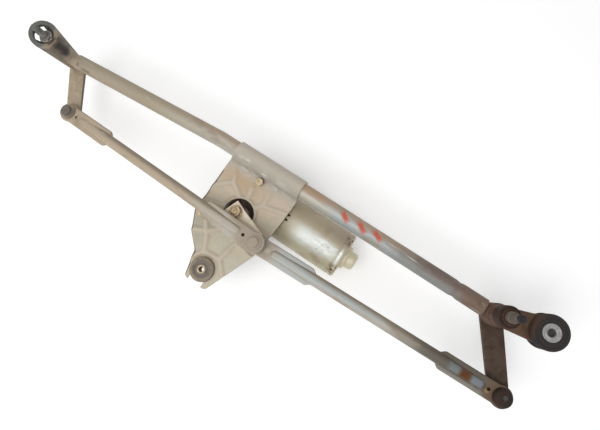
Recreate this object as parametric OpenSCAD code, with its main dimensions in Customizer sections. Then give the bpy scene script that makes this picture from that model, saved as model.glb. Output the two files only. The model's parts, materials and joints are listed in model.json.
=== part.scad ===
// Windshield wiper linkage with its geared motor: a bent frame tube with a cast pivot housing at each end,
// a stamped bracket that carries the motor, and a crank that swings two levers through two link rods.
// Millimetres. +X runs along the straight right run of the tube and +Z along the spindles, away from the car.

/* [Frame tube] */
// Outside diameter of the frame tube
tube_d = 20; // [19:0.5:21]
// Wall thickness of the frame tube
tube_wall = 1.5; // [1:0.1:2]
// Run of tube from the bend to the right spindle axis
right_run = 382; // [376:1:388]
// Run of tube from the bend to the left spindle axis
left_run = 245; // [240:0.5:248]
// Bend of the tube, in the plane of the linkage
bend_angle = 4; // [3:0.5:5]
// Distance along the tube from the output shaft to the bend
bend_offset = 72; // [70:1:76]

/* [Motor bracket] */
// Thickness of the stamped sheet
sheet = 2.5; // [2:0.1:3]
// Height of the tube axis above the sheet's upper face
tube_rise = 6; // [5:0.5:7]
// Diameter of the hole round the output shaft
window_d = 39; // [37:0.5:41]
// Height of the pressed ribs
rib_h = 1.6; // [1:0.1:2]
// Distance from the tube axis to the output shaft
shaft_drop = 66; // [65:0.5:67]
// Distance from the tube axis to the bracket's mounting sleeve
mount_drop = 146; // [144:0.5:148]

/* [Pivots] */
// Diameter of both spindles
spindle_d = 12; // [11:0.5:12.5]
// Diameter of the threaded tips
thread_d = 8; // [7:0.5:8]
// Height of the left spindle's tip above the tube axis
left_tip_z = 71; // [68:0.5:74]
// Height of the right spindle's tip above the tube axis
right_tip_z = 75.5; // [72:0.5:78]
// Top of the left bearing barrel
left_barrel_z = 49; // [47:0.5:50]
// Top of the right bearing barrel
right_barrel_z = 43.5; // [41:0.5:46]
// Outside diameter of the ring on the left tower
ring_d = 34; // [33:0.5:35]
// Height of the middle of that ring above the tube axis
ring_z = 54; // [53:0.5:55]
// Lean of that ring towards the tube
ring_tilt = 20; // [16:1:24]

/* [Elastic mounts] */
// Bore of the bracket's mounting sleeve
bracket_bore = 6.5; // [6:0.1:7]
// Diameter of the bracket grommet
bracket_grommet_d = 31; // [29:0.5:32]
// Bore of the right mounting sleeve
right_bore = 8.5; // [8:0.1:9]
// Diameter of the right grommet
right_grommet_d = 39; // [37:0.5:40]
// Right mounting sleeve, along the tube from the right spindle
ear_x = 50; // [48:0.5:52]
// Right mounting sleeve, across the tube from the right spindle
ear_y = 13; // [11:0.5:14]

/* [Crank and levers] */
// Distance from the output shaft to the crank pin
crank_r = 47.2; // [46:0.1:48]
// Parked angle of the crank
crank_angle = -21.4; // [-24:0.2:-19]
// Distance between the left spindle and its ball
left_lever_len = 75; // [74:0.2:76.6]
// Parked angle of the left lever
left_lever_angle = -56.1; // [-58:0.1:-55]
// Distance between the right spindle and its ball
right_lever_len = 87.8; // [86:0.2:89]
// Parked angle of the right lever
right_lever_angle = -54.8; // [-56:0.2:-53]
// Diameter of the ball studs
ball_d = 10; // [9:0.5:10]

/* [Link rods] */
// Diameter of the round part of each link
link_d = 14; // [13:0.5:15]
// Width of the flattened ends
flat_w = 22; // [20:0.5:23]
// Thickness of the flattened ends
flat_h = 5; // [4:0.5:5.5]
// Flattened length, from the ball to the round tube
flat_len = 79; // [74:1:84]
// Diameter of the rounded end
eye_d = 25; // [24:0.5:26]
// Outside diameter of the steel ball cups
cup_d = 21; // [20.5:0.5:22]

/* [Motor] */
// Diameter of the motor can
can_d = 60; // [58:1:61]
// Length of the motor can
can_len = 93; // [90:1:96]
// Distance from the tube axis to the motor axis, across the tube
motor_drop = 36; // [35.5:0.1:36.5]
// Depth of the motor axis below the tube axis
motor_depth = 40; // [39.5:0.5:42]
// Teeth on the worm wheel
wheel_teeth = 48; // [44:1:50]

/* [Hidden] */
$fn = 64;

// Clearances: turning fits, pieces pushed together, and parts that pass each other
run_gap = 0.05;
seat_gap = 0.05;
pass_gap = 0.3;
through = 1;

// Plan positions, seen with the output shaft at x = 0 and the right run of the tube on y = 0
tube_r = tube_d / 2;
bend = [-bend_offset, 0];
left_dir = 180 + bend_angle;
shaft = [0, -shaft_drop];
left_pivot = bend + left_run * [cos(left_dir), sin(left_dir)];
right_pivot = bend + [right_run, 0];
crank_pin = shaft + crank_r * [cos(crank_angle), sin(crank_angle)];
left_ball = left_pivot + left_lever_len * [cos(left_lever_angle), sin(left_lever_angle)];
right_ball = right_pivot + right_lever_len * [cos(right_lever_angle), sin(right_lever_angle)];
bracket_mount = [2, -mount_drop];
right_mount = right_pivot + [ear_x, ear_y];

// Heights above the tube axis
sheet_top = -tube_rise;
sheet_low = sheet_top - sheet;
housing_low = -13;
lever_top = -14;
lever_h = 5;
lever_low = lever_top - lever_h;
lever_ball_z = -7.5;
crank_low = 4.5;
crank_h = 5;
crank_top = crank_low + crank_h;
right_link_z = 14.5;
left_link_z = 25;
ball_r = ball_d / 2;

// Bearings of the spindles
spindle_r = spindle_d / 2;
bush_r = spindle_r + 1.5;
bush_len = 12;
left_barrel_r = bush_r + 1.7;
right_barrel_r = 11.7;
left_end_gap = 13.9;
right_end_gap = 14;
spigot_len = 44;

// Elastic mounts
grommet_lip = 5;
bracket_waist_r = 10;
bracket_sleeve_r = 5.2;
bracket_sleeve_low = sheet_low - grommet_lip - 0.5;
bracket_sleeve_top = sheet_top + grommet_lip + 0.5;
right_waist_r = 13.5;
right_sleeve_r = 5.8;
right_flange_r = 9.8;
ear_low = 2;
ear_top = 12;
right_grommet_low = -4;
right_grommet_top = 20;
right_flange_h = 1.5;

// The part's origin is on the bracket sleeve's axis, at the end that sits on the car body
origin = [bracket_mount.x, bracket_mount.y, bracket_sleeve_low];

// Motor and gearbox
motor_z = -motor_depth;
can_r = can_d / 2;
can_wall = 1.8;
can_x = 42;
can_end = can_x + can_len;
boss_len = 16;
armature_r = 21;
armature_shaft_r = 4;
worm_distance = shaft_drop - motor_drop;
wheel_pitch_r = 23.5;
worm_pitch = 2 * PI * wheel_pitch_r / wheel_teeth;
tooth_rise = 1;
wheel_tip_r = wheel_pitch_r + tooth_rise;
worm_tip_r = worm_distance - wheel_pitch_r + tooth_rise;
tooth_root_gap = 0.4;
wheel_root_r = worm_distance - worm_tip_r - tooth_root_gap;
worm_root_r = worm_distance - wheel_tip_r - tooth_root_gap;
worm_turns = 6;
wheel_h = 8;
gear_cavity_r = wheel_tip_r + 1.2;
gear_wall = 3;
gear_roof = -27;
gear_floor = -52;
cover_h = 2.5;
shaft_r = 5;
screw_circle = 47;
screw_angles = [90, 210, 330];
screw_r = 2.5;
cover_screw_r = 1.5;
cover_screw_circle = gear_cavity_r + gear_wall + 2.5;
screw_points = [for (a = screw_angles) shaft + screw_circle * [cos(a), sin(a)]];
cover_screw_points = [for (a = [35, 145, 225, 315]) shaft + cover_screw_circle * [cos(a), sin(a)]];
connector_w = 20;
connector_h = 16;
connector_wall = 1.6;
connector_x = -50;
connector_depth = 14;
connector_z = -43;
blade_len = 8;

module in_part_frame() {
    translate(-origin) children();
}

module at(point, z = 0) {
    translate([point.x, point.y, z]) children();
}

// Points of an arc about a centre
function arc(centre, r, from, to, steps = 24) =
    [for (i = [0:steps]) let (a = from + (to - from) * i / steps) centre + r * [cos(a), sin(a)]];

// A bar between two round ends, drawn as one outline of two arcs that meet in tangents
module tapered_bar(len, r1, r2) {
    turn = acos((r1 - r2) / len);
    polygon(concat(arc([0, 0], r1, turn, 360 - turn), arc([len, 0], r2, -turn, turn)));
}

module ring(outer_r, inner_r, h) {
    difference() {
        cylinder(r = outer_r, h = h);
        translate([0, 0, -through]) cylinder(r = inner_r, h = h + 2 * through);
    }
}

module along_motor(x) {
    translate([x, -motor_drop, motor_z]) rotate([0, 90, 0]) children();
}

// Frame tube and bracket

bend_r = 60;
bend_tangent = bend_r * tan(bend_angle / 2);

module tube_section() {
    difference() {
        circle(tube_r);
        circle(tube_r - tube_wall);
    }
}

module straight_tube(len) {
    rotate([0, 90, 0]) linear_extrude(len) tube_section();
}

module frame_tube() {
    neck_x = right_pivot.x - 49;
    neck_r = 5;
    neck_depth = 0.7;
    color("#9a8c80") {
        difference() {
            translate([bend.x + bend_tangent, 0, 0]) straight_tube(right_run - right_end_gap - bend_tangent);
            translate([neck_x, 0, 0]) rotate([0, 90, 0]) rotate_extrude()
                translate([tube_r + neck_r - neck_depth, 0]) circle(neck_r);
        }
        translate([bend.x + bend_tangent, -bend_r, 0]) rotate([0, 0, 90]) rotate_extrude(angle = bend_angle)
            translate([bend_r, 0]) tube_section();
        at(bend) rotate([0, 0, left_dir]) translate([bend_tangent, 0, 0])
            straight_tube(left_run - left_end_gap - bend_tangent);
    }
}

bracket_left = -50;
bracket_right = 51.5;
wrap_left = -44;
bracket_outline = [[bracket_right, -8], [bracket_right, -33], [49, -68], [45, -98], [18, -165], [-13, -165],
    [-21, -132], [-38, -116], [-52, -89], [bracket_left, -75], [bracket_left, -8]];
wrap_r = tube_r + sheet;

module sheet_outline() {
    corner = 4;
    slot_w = 2 * bracket_waist_r;
    difference() {
        offset(r = corner) offset(delta = -corner) polygon(bracket_outline);
        at(bracket_mount) {
            circle(bracket_waist_r);
            translate([-slot_w / 2, -40]) square([slot_w, 40]);
        }
    }
}

// A raised rib of the pressing, from one point to another
module pressed_rib(from, to, w) {
    run = to - from;
    at(from, sheet_top - 0.2) rotate([0, 0, atan2(run.y, run.x)]) {
        translate([0, -w / 2, 0]) cube([norm(run), w, rib_h + 0.2]);
        cylinder(r = w / 2, h = rib_h + 0.2);
        translate([norm(run), 0, 0]) cylinder(r = w / 2, h = rib_h + 0.2);
    }
}

module tube_wrap() {
    far_edge = -3;
    half = wrap_r + through;
    len = bracket_right - wrap_left;
    translate([wrap_left, 0, 0]) difference() {
        rotate([0, 90, 0]) cylinder(r = wrap_r, h = len);
        translate([-through, 0, 0]) rotate([0, 90, 0]) cylinder(r = tube_r + seat_gap, h = len + 2 * through);
        translate([-through, -half, -half]) cube([len + 2 * through, half, half + sheet_low]);
        translate([-through, 0, -half]) cube([len + 2 * through, half, half + far_edge]);
    }
}

module motor_bracket() {
    rim_w = 3;
    rib_w = 7;
    rib_start = window_d / 2 + rim_w;
    rib_reach = 17;
    tail = shaft + [0, -44];
    screw_hole_r = 3;
    color("#a39a8e") difference() {
        union() {
            translate([0, 0, sheet_low]) linear_extrude(sheet) sheet_outline();
            tube_wrap();
            at(shaft, sheet_low) cylinder(r = window_d / 2 + rim_w, h = sheet + rib_h);
            for (a = [30, 60, 120, 150, 180, 240, 300]) let (out = [cos(a), sin(a)])
                pressed_rib(shaft + rib_start * out, shaft + (rib_start + rib_reach) * out, rib_w);
            for (side = [-1, 1]) pressed_rib(tail, tail + [side * 16, -14], rib_w);
        }
        at(shaft, sheet_low - through) cylinder(d = window_d, h = sheet + rib_h + 2 * through);
        for (point = screw_points)
            at(point, sheet_low - through) cylinder(r = screw_hole_r, h = sheet + 2 * through);
    }
}

// Pivot housings

module spigot(dir) {
    rotate([0, 90, dir]) cylinder(r = tube_r - tube_wall - seat_gap, h = spigot_len);
}

module left_pivot_housing() {
    base_r = 10.3;
    base_top = 6;
    ring_h = 6;
    ring_r = ring_d / 2;
    ring_in = ring_r - 5.5;
    rib_low = -8;
    rib_in = bush_r + 0.3;
    rib_out = ring_r - 0.8;
    rib_foot = 5;
    rib_over = 1;
    hub_top = left_barrel_z - 4;
    // Direction of each rib from the tube, how far it reaches at the base, and its width
    ribs = [[90, 9, 9], [180, 9.5, 5], [270, 11.6, 9]];
    color("#8b847c") difference() {
        at(left_pivot) {
            spigot(bend_angle);
            translate([0, 0, housing_low]) cylinder(r = base_r, h = base_top - housing_low);
            translate([0, 0, housing_low]) cylinder(r = left_barrel_r, h = left_barrel_z - housing_low);
            translate([0, 0, ring_z]) rotate([0, ring_tilt, bend_angle]) translate([0, 0, -ring_h / 2])
                ring(ring_r, ring_in, ring_h);
            for (rib = ribs) {
                // Seen from above the leaning ring is an ellipse, and it climbs away from the tube
                shrink = norm([cos(rib[0]) / cos(ring_tilt), sin(rib[0])]);
                climb = -tan(ring_tilt) * cos(rib[0]);
                far = rib_out / shrink;
                near = ring_in / shrink;
                rotate([90, 0, bend_angle + rib[0]]) linear_extrude(rib[2], center = true)
                    polygon([[rib_in, rib_low], [rib[1], rib_low], [far, ring_z + far * climb - rib_foot],
                        [far, ring_z + far * climb + rib_over], [near, ring_z + near * climb + rib_over],
                        [rib_in, hub_top]]);
            }
        }
        at(left_pivot, housing_low - through)
            cylinder(r = bush_r + seat_gap, h = left_barrel_z - housing_low + 2 * through);
    }
}

module right_pivot_housing() {
    base_r = 13;
    base_top = 11;
    ear_r = 17;
    arm_r = 11;
    arm_low = 3;
    arm_h = 7;
    color("#6f655c") difference() {
        union() {
            at(right_pivot) {
                spigot(180);
                translate([0, 0, housing_low]) cylinder(r = base_r, h = base_top - housing_low);
                translate([0, 0, housing_low]) cylinder(r = right_barrel_r, h = right_barrel_z - housing_low);
                translate([0, 0, arm_low]) rotate([0, 0, atan2(ear_y, ear_x)]) linear_extrude(arm_h)
                    tapered_bar(norm([ear_x, ear_y]), arm_r, ear_r - 1);
            }
            at(right_mount, ear_low) cylinder(r = ear_r, h = ear_top - ear_low);
        }
        at(right_pivot, housing_low - through)
            cylinder(r = bush_r + seat_gap, h = right_barrel_z - housing_low + 2 * through);
        at(right_mount, ear_low - through)
            cylinder(r = right_waist_r + seat_gap, h = ear_top - ear_low + 2 * through);
    }
}

module spindle_bushes(pivot, top) {
    color("#b08d57") for (z = [housing_low, top - bush_len])
        at(pivot, z) ring(bush_r, spindle_r + run_gap, bush_len);
}

module left_spindle_bushes() {
    spindle_bushes(left_pivot, left_barrel_z);
}

module right_spindle_bushes() {
    spindle_bushes(right_pivot, right_barrel_z);
}

// Elastic mounts

module bracket_grommet() {
    waist_r = bracket_waist_r - seat_gap;
    lip_r = bracket_grommet_d / 2;
    bore_r = bracket_sleeve_r + seat_gap;
    low = sheet_low - grommet_lip;
    top = sheet_top + grommet_lip;
    color("#4a4744") at(bracket_mount) rotate_extrude()
        polygon([[bore_r, low], [lip_r - 1, low], [lip_r, low + 1], [lip_r, sheet_low - seat_gap],
            [waist_r, sheet_low - seat_gap], [waist_r, sheet_top + seat_gap], [lip_r, sheet_top + seat_gap],
            [lip_r, top - 1], [lip_r - 1, top], [bore_r, top]]);
}

module bracket_sleeve() {
    color("#8f8a80") at(bracket_mount, bracket_sleeve_low)
        ring(bracket_sleeve_r, bracket_bore / 2, bracket_sleeve_top - bracket_sleeve_low);
}

module right_grommet() {
    lip_r = right_grommet_d / 2;
    bore_r = right_sleeve_r + seat_gap;
    round_r = 2;
    low = right_grommet_low;
    top = right_grommet_top;
    groove_low = ear_low - seat_gap;
    groove_top = ear_top + seat_gap;
    color("#34373a") at(right_mount) rotate_extrude()
        polygon([[bore_r, low], [lip_r - round_r, low], [lip_r, low + round_r], [lip_r, groove_low],
            [right_waist_r, groove_low], [right_waist_r, groove_top], [lip_r, groove_top],
            [lip_r, top - round_r], [lip_r - round_r, top], [bore_r, top]]);
}

module right_sleeve() {
    len = right_grommet_top - right_grommet_low + right_flange_h;
    color("#c9c9c4") at(right_mount, right_grommet_low) difference() {
        union() {
            cylinder(r = right_sleeve_r, h = len);
            translate([0, 0, len - right_flange_h + seat_gap])
                cylinder(r = right_flange_r, h = right_flange_h - seat_gap);
        }
        translate([0, 0, -through]) cylinder(d = right_bore, h = len + 2 * through);
    }
}

// Gearbox and motor

module screw_lugs() {
    lug_r = 7;
    web_low = -34;
    for (a = screw_angles) at(shaft) rotate([0, 0, a]) {
        translate([0, 0, web_low]) linear_extrude(gear_roof - web_low) tapered_bar(screw_circle, 20, lug_r);
        translate([screw_circle, 0, web_low]) cylinder(r = lug_r, h = sheet_low - web_low);
    }
}

neck_low = -2;
tunnel_x = -33;
end_bush_x = -30;
end_bush_len = 9;
end_bush_r = 7;
middle_bearing_x = 32;
middle_bearing_len = 8;
middle_bearing_r = 9;
output_bush_r = 7;
roof_h = 3;
cover_lug_r = 4.5;
cover_grip = 7;

module gearbox_housing() {
    tunnel_r = 12;
    neck_wall = 4;
    flange_h = 4;
    worm_room_r = worm_tip_r + 1.2;
    cover_lug_h = 10;
    screw_depth = 22;
    color("#8d8f90") difference() {
        union() {
            at(shaft, gear_floor) cylinder(r = gear_cavity_r + gear_wall, h = gear_roof - gear_floor);
            at(shaft, gear_roof) cylinder(r = output_bush_r + neck_wall, h = neck_low - gear_roof);
            along_motor(tunnel_x) cylinder(r = tunnel_r, h = can_x - tunnel_x);
            along_motor(can_x - flange_h) cylinder(r = can_r, h = flange_h);
            screw_lugs();
            for (point = cover_screw_points) at(point, gear_floor) cylinder(r = cover_lug_r, h = cover_lug_h);
        }
        at(shaft, gear_floor - through)
            cylinder(r = gear_cavity_r, h = gear_roof - roof_h - gear_floor + through);
        at(shaft, gear_floor) cylinder(r = output_bush_r + seat_gap, h = neck_low - gear_floor + through);
        along_motor(end_bush_x) cylinder(r = end_bush_r + seat_gap, h = can_x - end_bush_x + through);
        along_motor(end_bush_x + end_bush_len) cylinder(r = worm_room_r, h = can_x - end_bush_x);
        along_motor(middle_bearing_x)
            cylinder(r = middle_bearing_r + seat_gap, h = can_x - middle_bearing_x + through);
        for (point = screw_points)
            at(point, sheet_low - screw_depth) cylinder(r = screw_r + seat_gap, h = screw_depth + through);
        for (point = cover_screw_points)
            at(point, gear_floor - through)
                cylinder(r = cover_screw_r + seat_gap, h = cover_grip + 2 * through);
    }
}

module gearbox_cover() {
    dome_r = 14;
    dome_h = 2;
    hole_r = cover_screw_r + 0.3;
    color("#76777a") difference() {
        union() {
            at(shaft, gear_floor - cover_h) cylinder(r = gear_cavity_r + gear_wall, h = cover_h);
            at(shaft, gear_floor - cover_h - dome_h) cylinder(r = dome_r, h = dome_h + cover_h / 2);
            for (point = cover_screw_points)
                at(point, gear_floor - cover_h) cylinder(r = cover_lug_r, h = cover_h);
        }
        for (point = cover_screw_points)
            at(point, gear_floor - cover_h - through) cylinder(r = hole_r, h = cover_h + 2 * through);
    }
}

module cover_screws() {
    head_r = 3.2;
    head_h = 2.2;
    color("#b9b6ac") for (point = cover_screw_points) at(point, gear_floor - cover_h) {
        translate([0, 0, -head_h]) cylinder(r = head_r, h = head_h);
        cylinder(r = cover_screw_r, h = cover_h + cover_grip);
    }
}

module motor_screws() {
    washer_r = 5.2;
    washer_h = 1;
    head_r = 4.9;
    head_h = 5;
    shank = 20;
    color("#c4a13c") for (point = screw_points) at(point, sheet_top) {
        cylinder(r = washer_r, h = washer_h);
        translate([0, 0, washer_h]) cylinder(r = head_r, h = head_h, $fn = 6);
        translate([0, 0, -shank]) cylinder(r = screw_r, h = shank + washer_h / 2);
    }
}

module motor_can() {
    shoulder = 3;
    inner_shoulder = shoulder + 0.5;
    // The end boss has two steps
    step_r = 15;
    step_end = can_len + 5;
    step_round = 1.5;
    boss_r = 11;
    boss_in = 8;
    boss_round = 3;
    boss_end = can_len + boss_len;
    color("#b3b0a2") along_motor(can_x) rotate_extrude()
        polygon([[can_r - can_wall, 0], [can_r, 0], [can_r, can_len - shoulder], [can_r - shoulder, can_len],
            [step_r, can_len], [step_r, step_end - step_round], [step_r - step_round, step_end],
            [boss_r, step_end], [boss_r, boss_end - boss_round], [boss_r - boss_round, boss_end],
            [0, boss_end], [0, boss_end - can_wall], [boss_in, boss_end - can_wall],
            [boss_in, can_len - can_wall], [can_r - inner_shoulder, can_len - can_wall],
            [can_r - can_wall, can_len - inner_shoulder]]);
}

module field_magnets() {
    sweep = 130;
    len = 64;
    start = 16;
    outer_r = can_r - can_wall - pass_gap;
    inner_r = armature_r + 1;
    color("#3d3d3f") along_motor(can_x + start) for (a = [-sweep / 2, 180 - sweep / 2])
        rotate([0, 0, a]) rotate_extrude(angle = sweep)
            translate([inner_r, 0]) square([outer_r - inner_r, len]);
}

brush_x = can_x + 3.5;
commutator_r = 9;

module brush_holder() {
    room = 2;
    disc_h = 3;
    color("#5b4a3a") along_motor(brush_x - disc_h)
        ring(can_r - can_wall - pass_gap, commutator_r + room, disc_h);
}

module carbon_brushes() {
    brush = [5, 6, 12];
    reach = commutator_r + pass_gap + brush.z / 2;
    color("#2b2b2d") for (side = [-1, 1])
        translate([brush_x + brush.x / 2, -motor_drop, motor_z + side * reach]) cube(brush, center = true);
}

module output_bush() {
    len = neck_low - gear_roof + roof_h;
    color("#b08d57") at(shaft, gear_roof - roof_h) ring(output_bush_r, shaft_r + run_gap, len);
}

module worm_end_bush() {
    len = end_bush_len - 2 * seat_gap;
    color("#b08d57") along_motor(end_bush_x + seat_gap) ring(end_bush_r, armature_shaft_r + run_gap, len);
}

module middle_bearing() {
    color("#b08d57") along_motor(middle_bearing_x + seat_gap)
        ring(middle_bearing_r, armature_shaft_r + run_gap, middle_bearing_len);
}

module rear_bearing() {
    outer_r = 7.9;
    len = 5.5;
    color("#b08d57") along_motor(can_end + seat_gap) ring(outer_r, armature_shaft_r + run_gap, len);
}

module connector_shell() {
    wall = connector_wall;
    foot = gear_cavity_r + gear_wall;
    root_depth = 3;
    color("#3a3b3d") translate([connector_x, shaft.y, connector_z]) difference() {
        translate([0, -connector_w / 2, -connector_h / 2])
            cube([-connector_x - foot + root_depth, connector_w, connector_h]);
        translate([-through, wall - connector_w / 2, wall - connector_h / 2])
            cube([connector_depth + through, connector_w - 2 * wall, connector_h - 2 * wall]);
        translate([-connector_x, 0, -connector_h]) cylinder(r = foot + seat_gap, h = 2 * connector_h);
    }
}

module connector_blades() {
    blade = [blade_len, 2.4, 0.8];
    root = [connector_x + connector_depth - blade_len / 2, shaft.y, connector_z];
    color("#c0b283") for (y = [-5, 0, 5], z = [-3, 3]) translate(root + [0, y, z]) cube(blade, center = true);
}

// Armature, all on the motor axis

module armature_shaft() {
    low_x = end_bush_x + 0.6;
    high_x = can_end + boss_len - can_wall - 0.8;
    color("#9fa1a3") along_motor(low_x) cylinder(r = armature_shaft_r, h = high_x - low_x);
}

// Radius of the worm at one angle: one trapezoid thread in a full turn
function worm_radius(a) =
    let (crest = 41, foot = 88, off = abs(a > 180 ? a - 360 : a))
    off <= crest ? worm_tip_r
        : off >= foot ? worm_root_r
        : worm_tip_r - (worm_tip_r - worm_root_r) * (off - crest) / (foot - crest);

module worm() {
    steps = 16;
    slices_per_turn = 10;
    worm_fit = 0.45;
    // A space of the worm faces the wheel's tooth at the shortest distance between the axes
    start = -(floor(worm_turns / 2) + 0.25) * worm_pitch;
    len = worm_turns * worm_pitch;
    slices = worm_turns * slices_per_turn;
    color("#a7a9ab") along_motor(start)
        linear_extrude(len, twist = -360 * worm_turns, slices = slices, $fn = steps) difference() {
            polygon([for (i = [0:steps - 1]) let (a = i * 360 / steps) worm_radius(a) * [cos(a), sin(a)]]);
            circle(armature_shaft_r + worm_fit);
        }
}

core_x = can_x + 26;
core_len = 42;

module armature_core() {
    slots = 10;
    slot_w = 3;
    slot_depth = 9;
    color("#6d6f72") along_motor(core_x) linear_extrude(core_len) difference() {
        circle(armature_r);
        circle(armature_shaft_r + seat_gap);
        for (i = [0:slots - 1]) rotate(i * 360 / slots)
            translate([armature_r - slot_depth, -slot_w / 2]) square([slot_depth + through, slot_w]);
    }
}

module armature_windings() {
    len = 9;
    out_r = 19.5;
    in_r = armature_shaft_r + seat_gap;
    round_r = 2.5;
    neck_r = 9;
    neck = 2;
    gap = 0.1;
    color("#a8642f") for (x = [core_x - len - gap, core_x + core_len + gap]) along_motor(x) rotate_extrude()
        polygon([[in_r, neck], [in_r, len - neck], [neck_r, len], [out_r - round_r, len],
            [out_r, len - round_r], [out_r, round_r], [out_r - round_r, 0], [neck_r, 0]]);
}

module commutator() {
    lead = 2;
    len = 13;
    color("#b87333") along_motor(brush_x - lead) ring(commutator_r, armature_shaft_r + seat_gap, len);
}

// Crank and its drive

module output_shaft() {
    low = motor_z - wheel_h;
    // The left link passes over the end of the shaft
    thread_len = 7.2;
    color("#9fa1a3") at(shaft) {
        translate([0, 0, low]) cylinder(r = shaft_r, h = crank_top - low);
        cylinder(d = thread_d, h = crank_top + thread_len);
    }
}

module worm_wheel() {
    tooth_root = 0.75;
    tooth_tip = 0.35;
    // Radius and half width at the corners of one tooth
    tooth = [[wheel_root_r, -tooth_root], [wheel_tip_r, -tooth_tip], [wheel_tip_r, tooth_tip],
        [wheel_root_r, tooth_root]];
    pitch_angle = 360 / wheel_teeth;
    hub_r = 10;
    color("#e3ddc8") at(shaft) difference() {
        union() {
            translate([0, 0, motor_z - wheel_h / 2]) linear_extrude(wheel_h)
                polygon([for (i = [0:wheel_teeth - 1], edge = tooth)
                    let (a = 90 + i * pitch_angle + asin(edge[1] / edge[0])) edge[0] * [cos(a), sin(a)]]);
            translate([0, 0, motor_z - wheel_h]) cylinder(r = hub_r, h = 2 * wheel_h);
        }
        translate([0, 0, motor_z - 2 * wheel_h]) cylinder(r = shaft_r + seat_gap, h = 4 * wheel_h);
    }
}

crank_neck_r = 3.2;
lock_washer_h = 1;
rivet_h = 1.25;

module crank_arm() {
    half = 10;
    pin_r = 11.5;
    color("#8a7f74") at(shaft, crank_low) rotate([0, 0, crank_angle]) difference() {
        linear_extrude(crank_h) {
            polygon([[-half, -half], [half, -half], [crank_r, -pin_r],
                [crank_r, pin_r], [half, half], [-half, half]]);
            translate([crank_r, 0]) circle(pin_r);
        }
        translate([0, 0, -through]) cylinder(r = shaft_r + seat_gap, h = crank_h + 2 * through);
        translate([crank_r, 0, -through]) cylinder(r = crank_neck_r + seat_gap, h = crank_h + 2 * through);
    }
}

module crank_lock_washer() {
    outer_r = 8.5;
    color("#8f8f8c") at(shaft, crank_top + seat_gap) ring(outer_r, thread_d / 2 + seat_gap, lock_washer_h);
}

module crank_nut() {
    corner_r = 7.5;
    nut_h = 5.5;
    color("#b9a35a") at(shaft, crank_top + lock_washer_h + 2 * seat_gap) difference() {
        cylinder(r = corner_r, h = nut_h, $fn = 6);
        translate([0, 0, -through]) cylinder(r = thread_d / 2 + seat_gap, h = nut_h + 2 * through);
    }
}

module crank_ball_pin() {
    rivet_r = 5.5;
    rivet_low = crank_low - seat_gap - rivet_h;
    neck_low = crank_low - rivet_h;
    color("#9b9b98") at(crank_pin) {
        translate([0, 0, neck_low]) cylinder(r = crank_neck_r, h = left_link_z - neck_low);
        translate([0, 0, rivet_low]) cylinder(r = rivet_r, h = rivet_h);
        for (z = [right_link_z, left_link_z]) translate([0, 0, z]) sphere(ball_r);
    }
}

// Levers, spindles and what is on them

stud_r = 3;
washer_h = 1;

module lever(pivot, angle, len, r1, r2) {
    at(pivot, lever_low) rotate([0, 0, angle]) difference() {
        linear_extrude(lever_h) tapered_bar(len, r1, r2);
        translate([0, 0, -through]) cylinder(r = spindle_r + seat_gap, h = lever_h + 2 * through);
        translate([len, 0, -through]) cylinder(r = stud_r + seat_gap, h = lever_h + 2 * through);
    }
}

module spindle(pivot, shoulder_z, tip_z) {
    head_r = spindle_r + 1.5;
    head_low = lever_low - 1.5;
    head_top = lever_low - seat_gap;
    chamfer = 1;
    thread_r = thread_d / 2;
    color("#8e8b86") at(pivot) rotate_extrude()
        polygon([[0, head_low], [head_r, head_low], [head_r, head_top], [spindle_r, head_top],
            [spindle_r, shoulder_z - chamfer], [spindle_r - chamfer, shoulder_z], [thread_r, shoulder_z],
            [thread_r, tip_z - chamfer], [thread_r - chamfer, tip_z], [0, tip_z]]);
}

module ball_stud(ball) {
    rivet_r = 4.6;
    rivet_low = lever_low - seat_gap - rivet_h;
    color("#9b9b98") at(ball) {
        translate([0, 0, lever_ball_z]) sphere(ball_r);
        translate([0, 0, lever_low - rivet_h]) cylinder(r = stud_r, h = lever_ball_z - lever_low + rivet_h);
        translate([0, 0, rivet_low]) cylinder(r = rivet_r, h = rivet_h);
    }
}

module spindle_washer(pivot, top) {
    color("#57534e") at(pivot, top + pass_gap) ring(bush_r + 1, spindle_r + seat_gap, washer_h);
}

module spindle_circlip(pivot, top) {
    gap = 40;
    clip = [2, 1.2];
    color("#77736c") at(pivot, top + pass_gap + washer_h + seat_gap) rotate([0, 0, gap / 2])
        rotate_extrude(angle = 360 - gap) translate([spindle_r + seat_gap, 0]) square(clip);
}

module left_lever() {
    color("#a8967c") lever(left_pivot, left_lever_angle, left_lever_len, 11, 9.5);
}

module left_spindle() {
    spindle(left_pivot, left_barrel_z + 4, left_tip_z);
}

module left_washer() {
    spindle_washer(left_pivot, left_barrel_z);
}

module left_circlip() {
    spindle_circlip(left_pivot, left_barrel_z);
}

module left_ball_stud() {
    ball_stud(left_ball);
}

module right_lever() {
    color("#5b4a40") lever(right_pivot, right_lever_angle, right_lever_len, 12.5, 11);
}

module right_spindle() {
    spindle(right_pivot, right_barrel_z + 11, right_tip_z);
}

module right_washer() {
    spindle_washer(right_pivot, right_barrel_z);
}

module right_circlip() {
    spindle_circlip(right_pivot, right_barrel_z);
}

module right_ball_stud() {
    ball_stud(right_ball);
}

// Link rods, drawn along +X from the crank ball to the lever ball, both at z = 0

module on_link(ball, z) {
    start = [crank_pin.x, crank_pin.y, z];
    run = [ball.x, ball.y, lever_ball_z] - start;
    translate(start) rotate([0, -atan2(run.z, norm([run.x, run.y])), atan2(run.y, run.x)]) children();
}

function link_len(ball, z) = norm([ball.x, ball.y, lever_ball_z] - [crank_pin.x, crank_pin.y, z]);

socket_r = 7.5;

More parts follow.
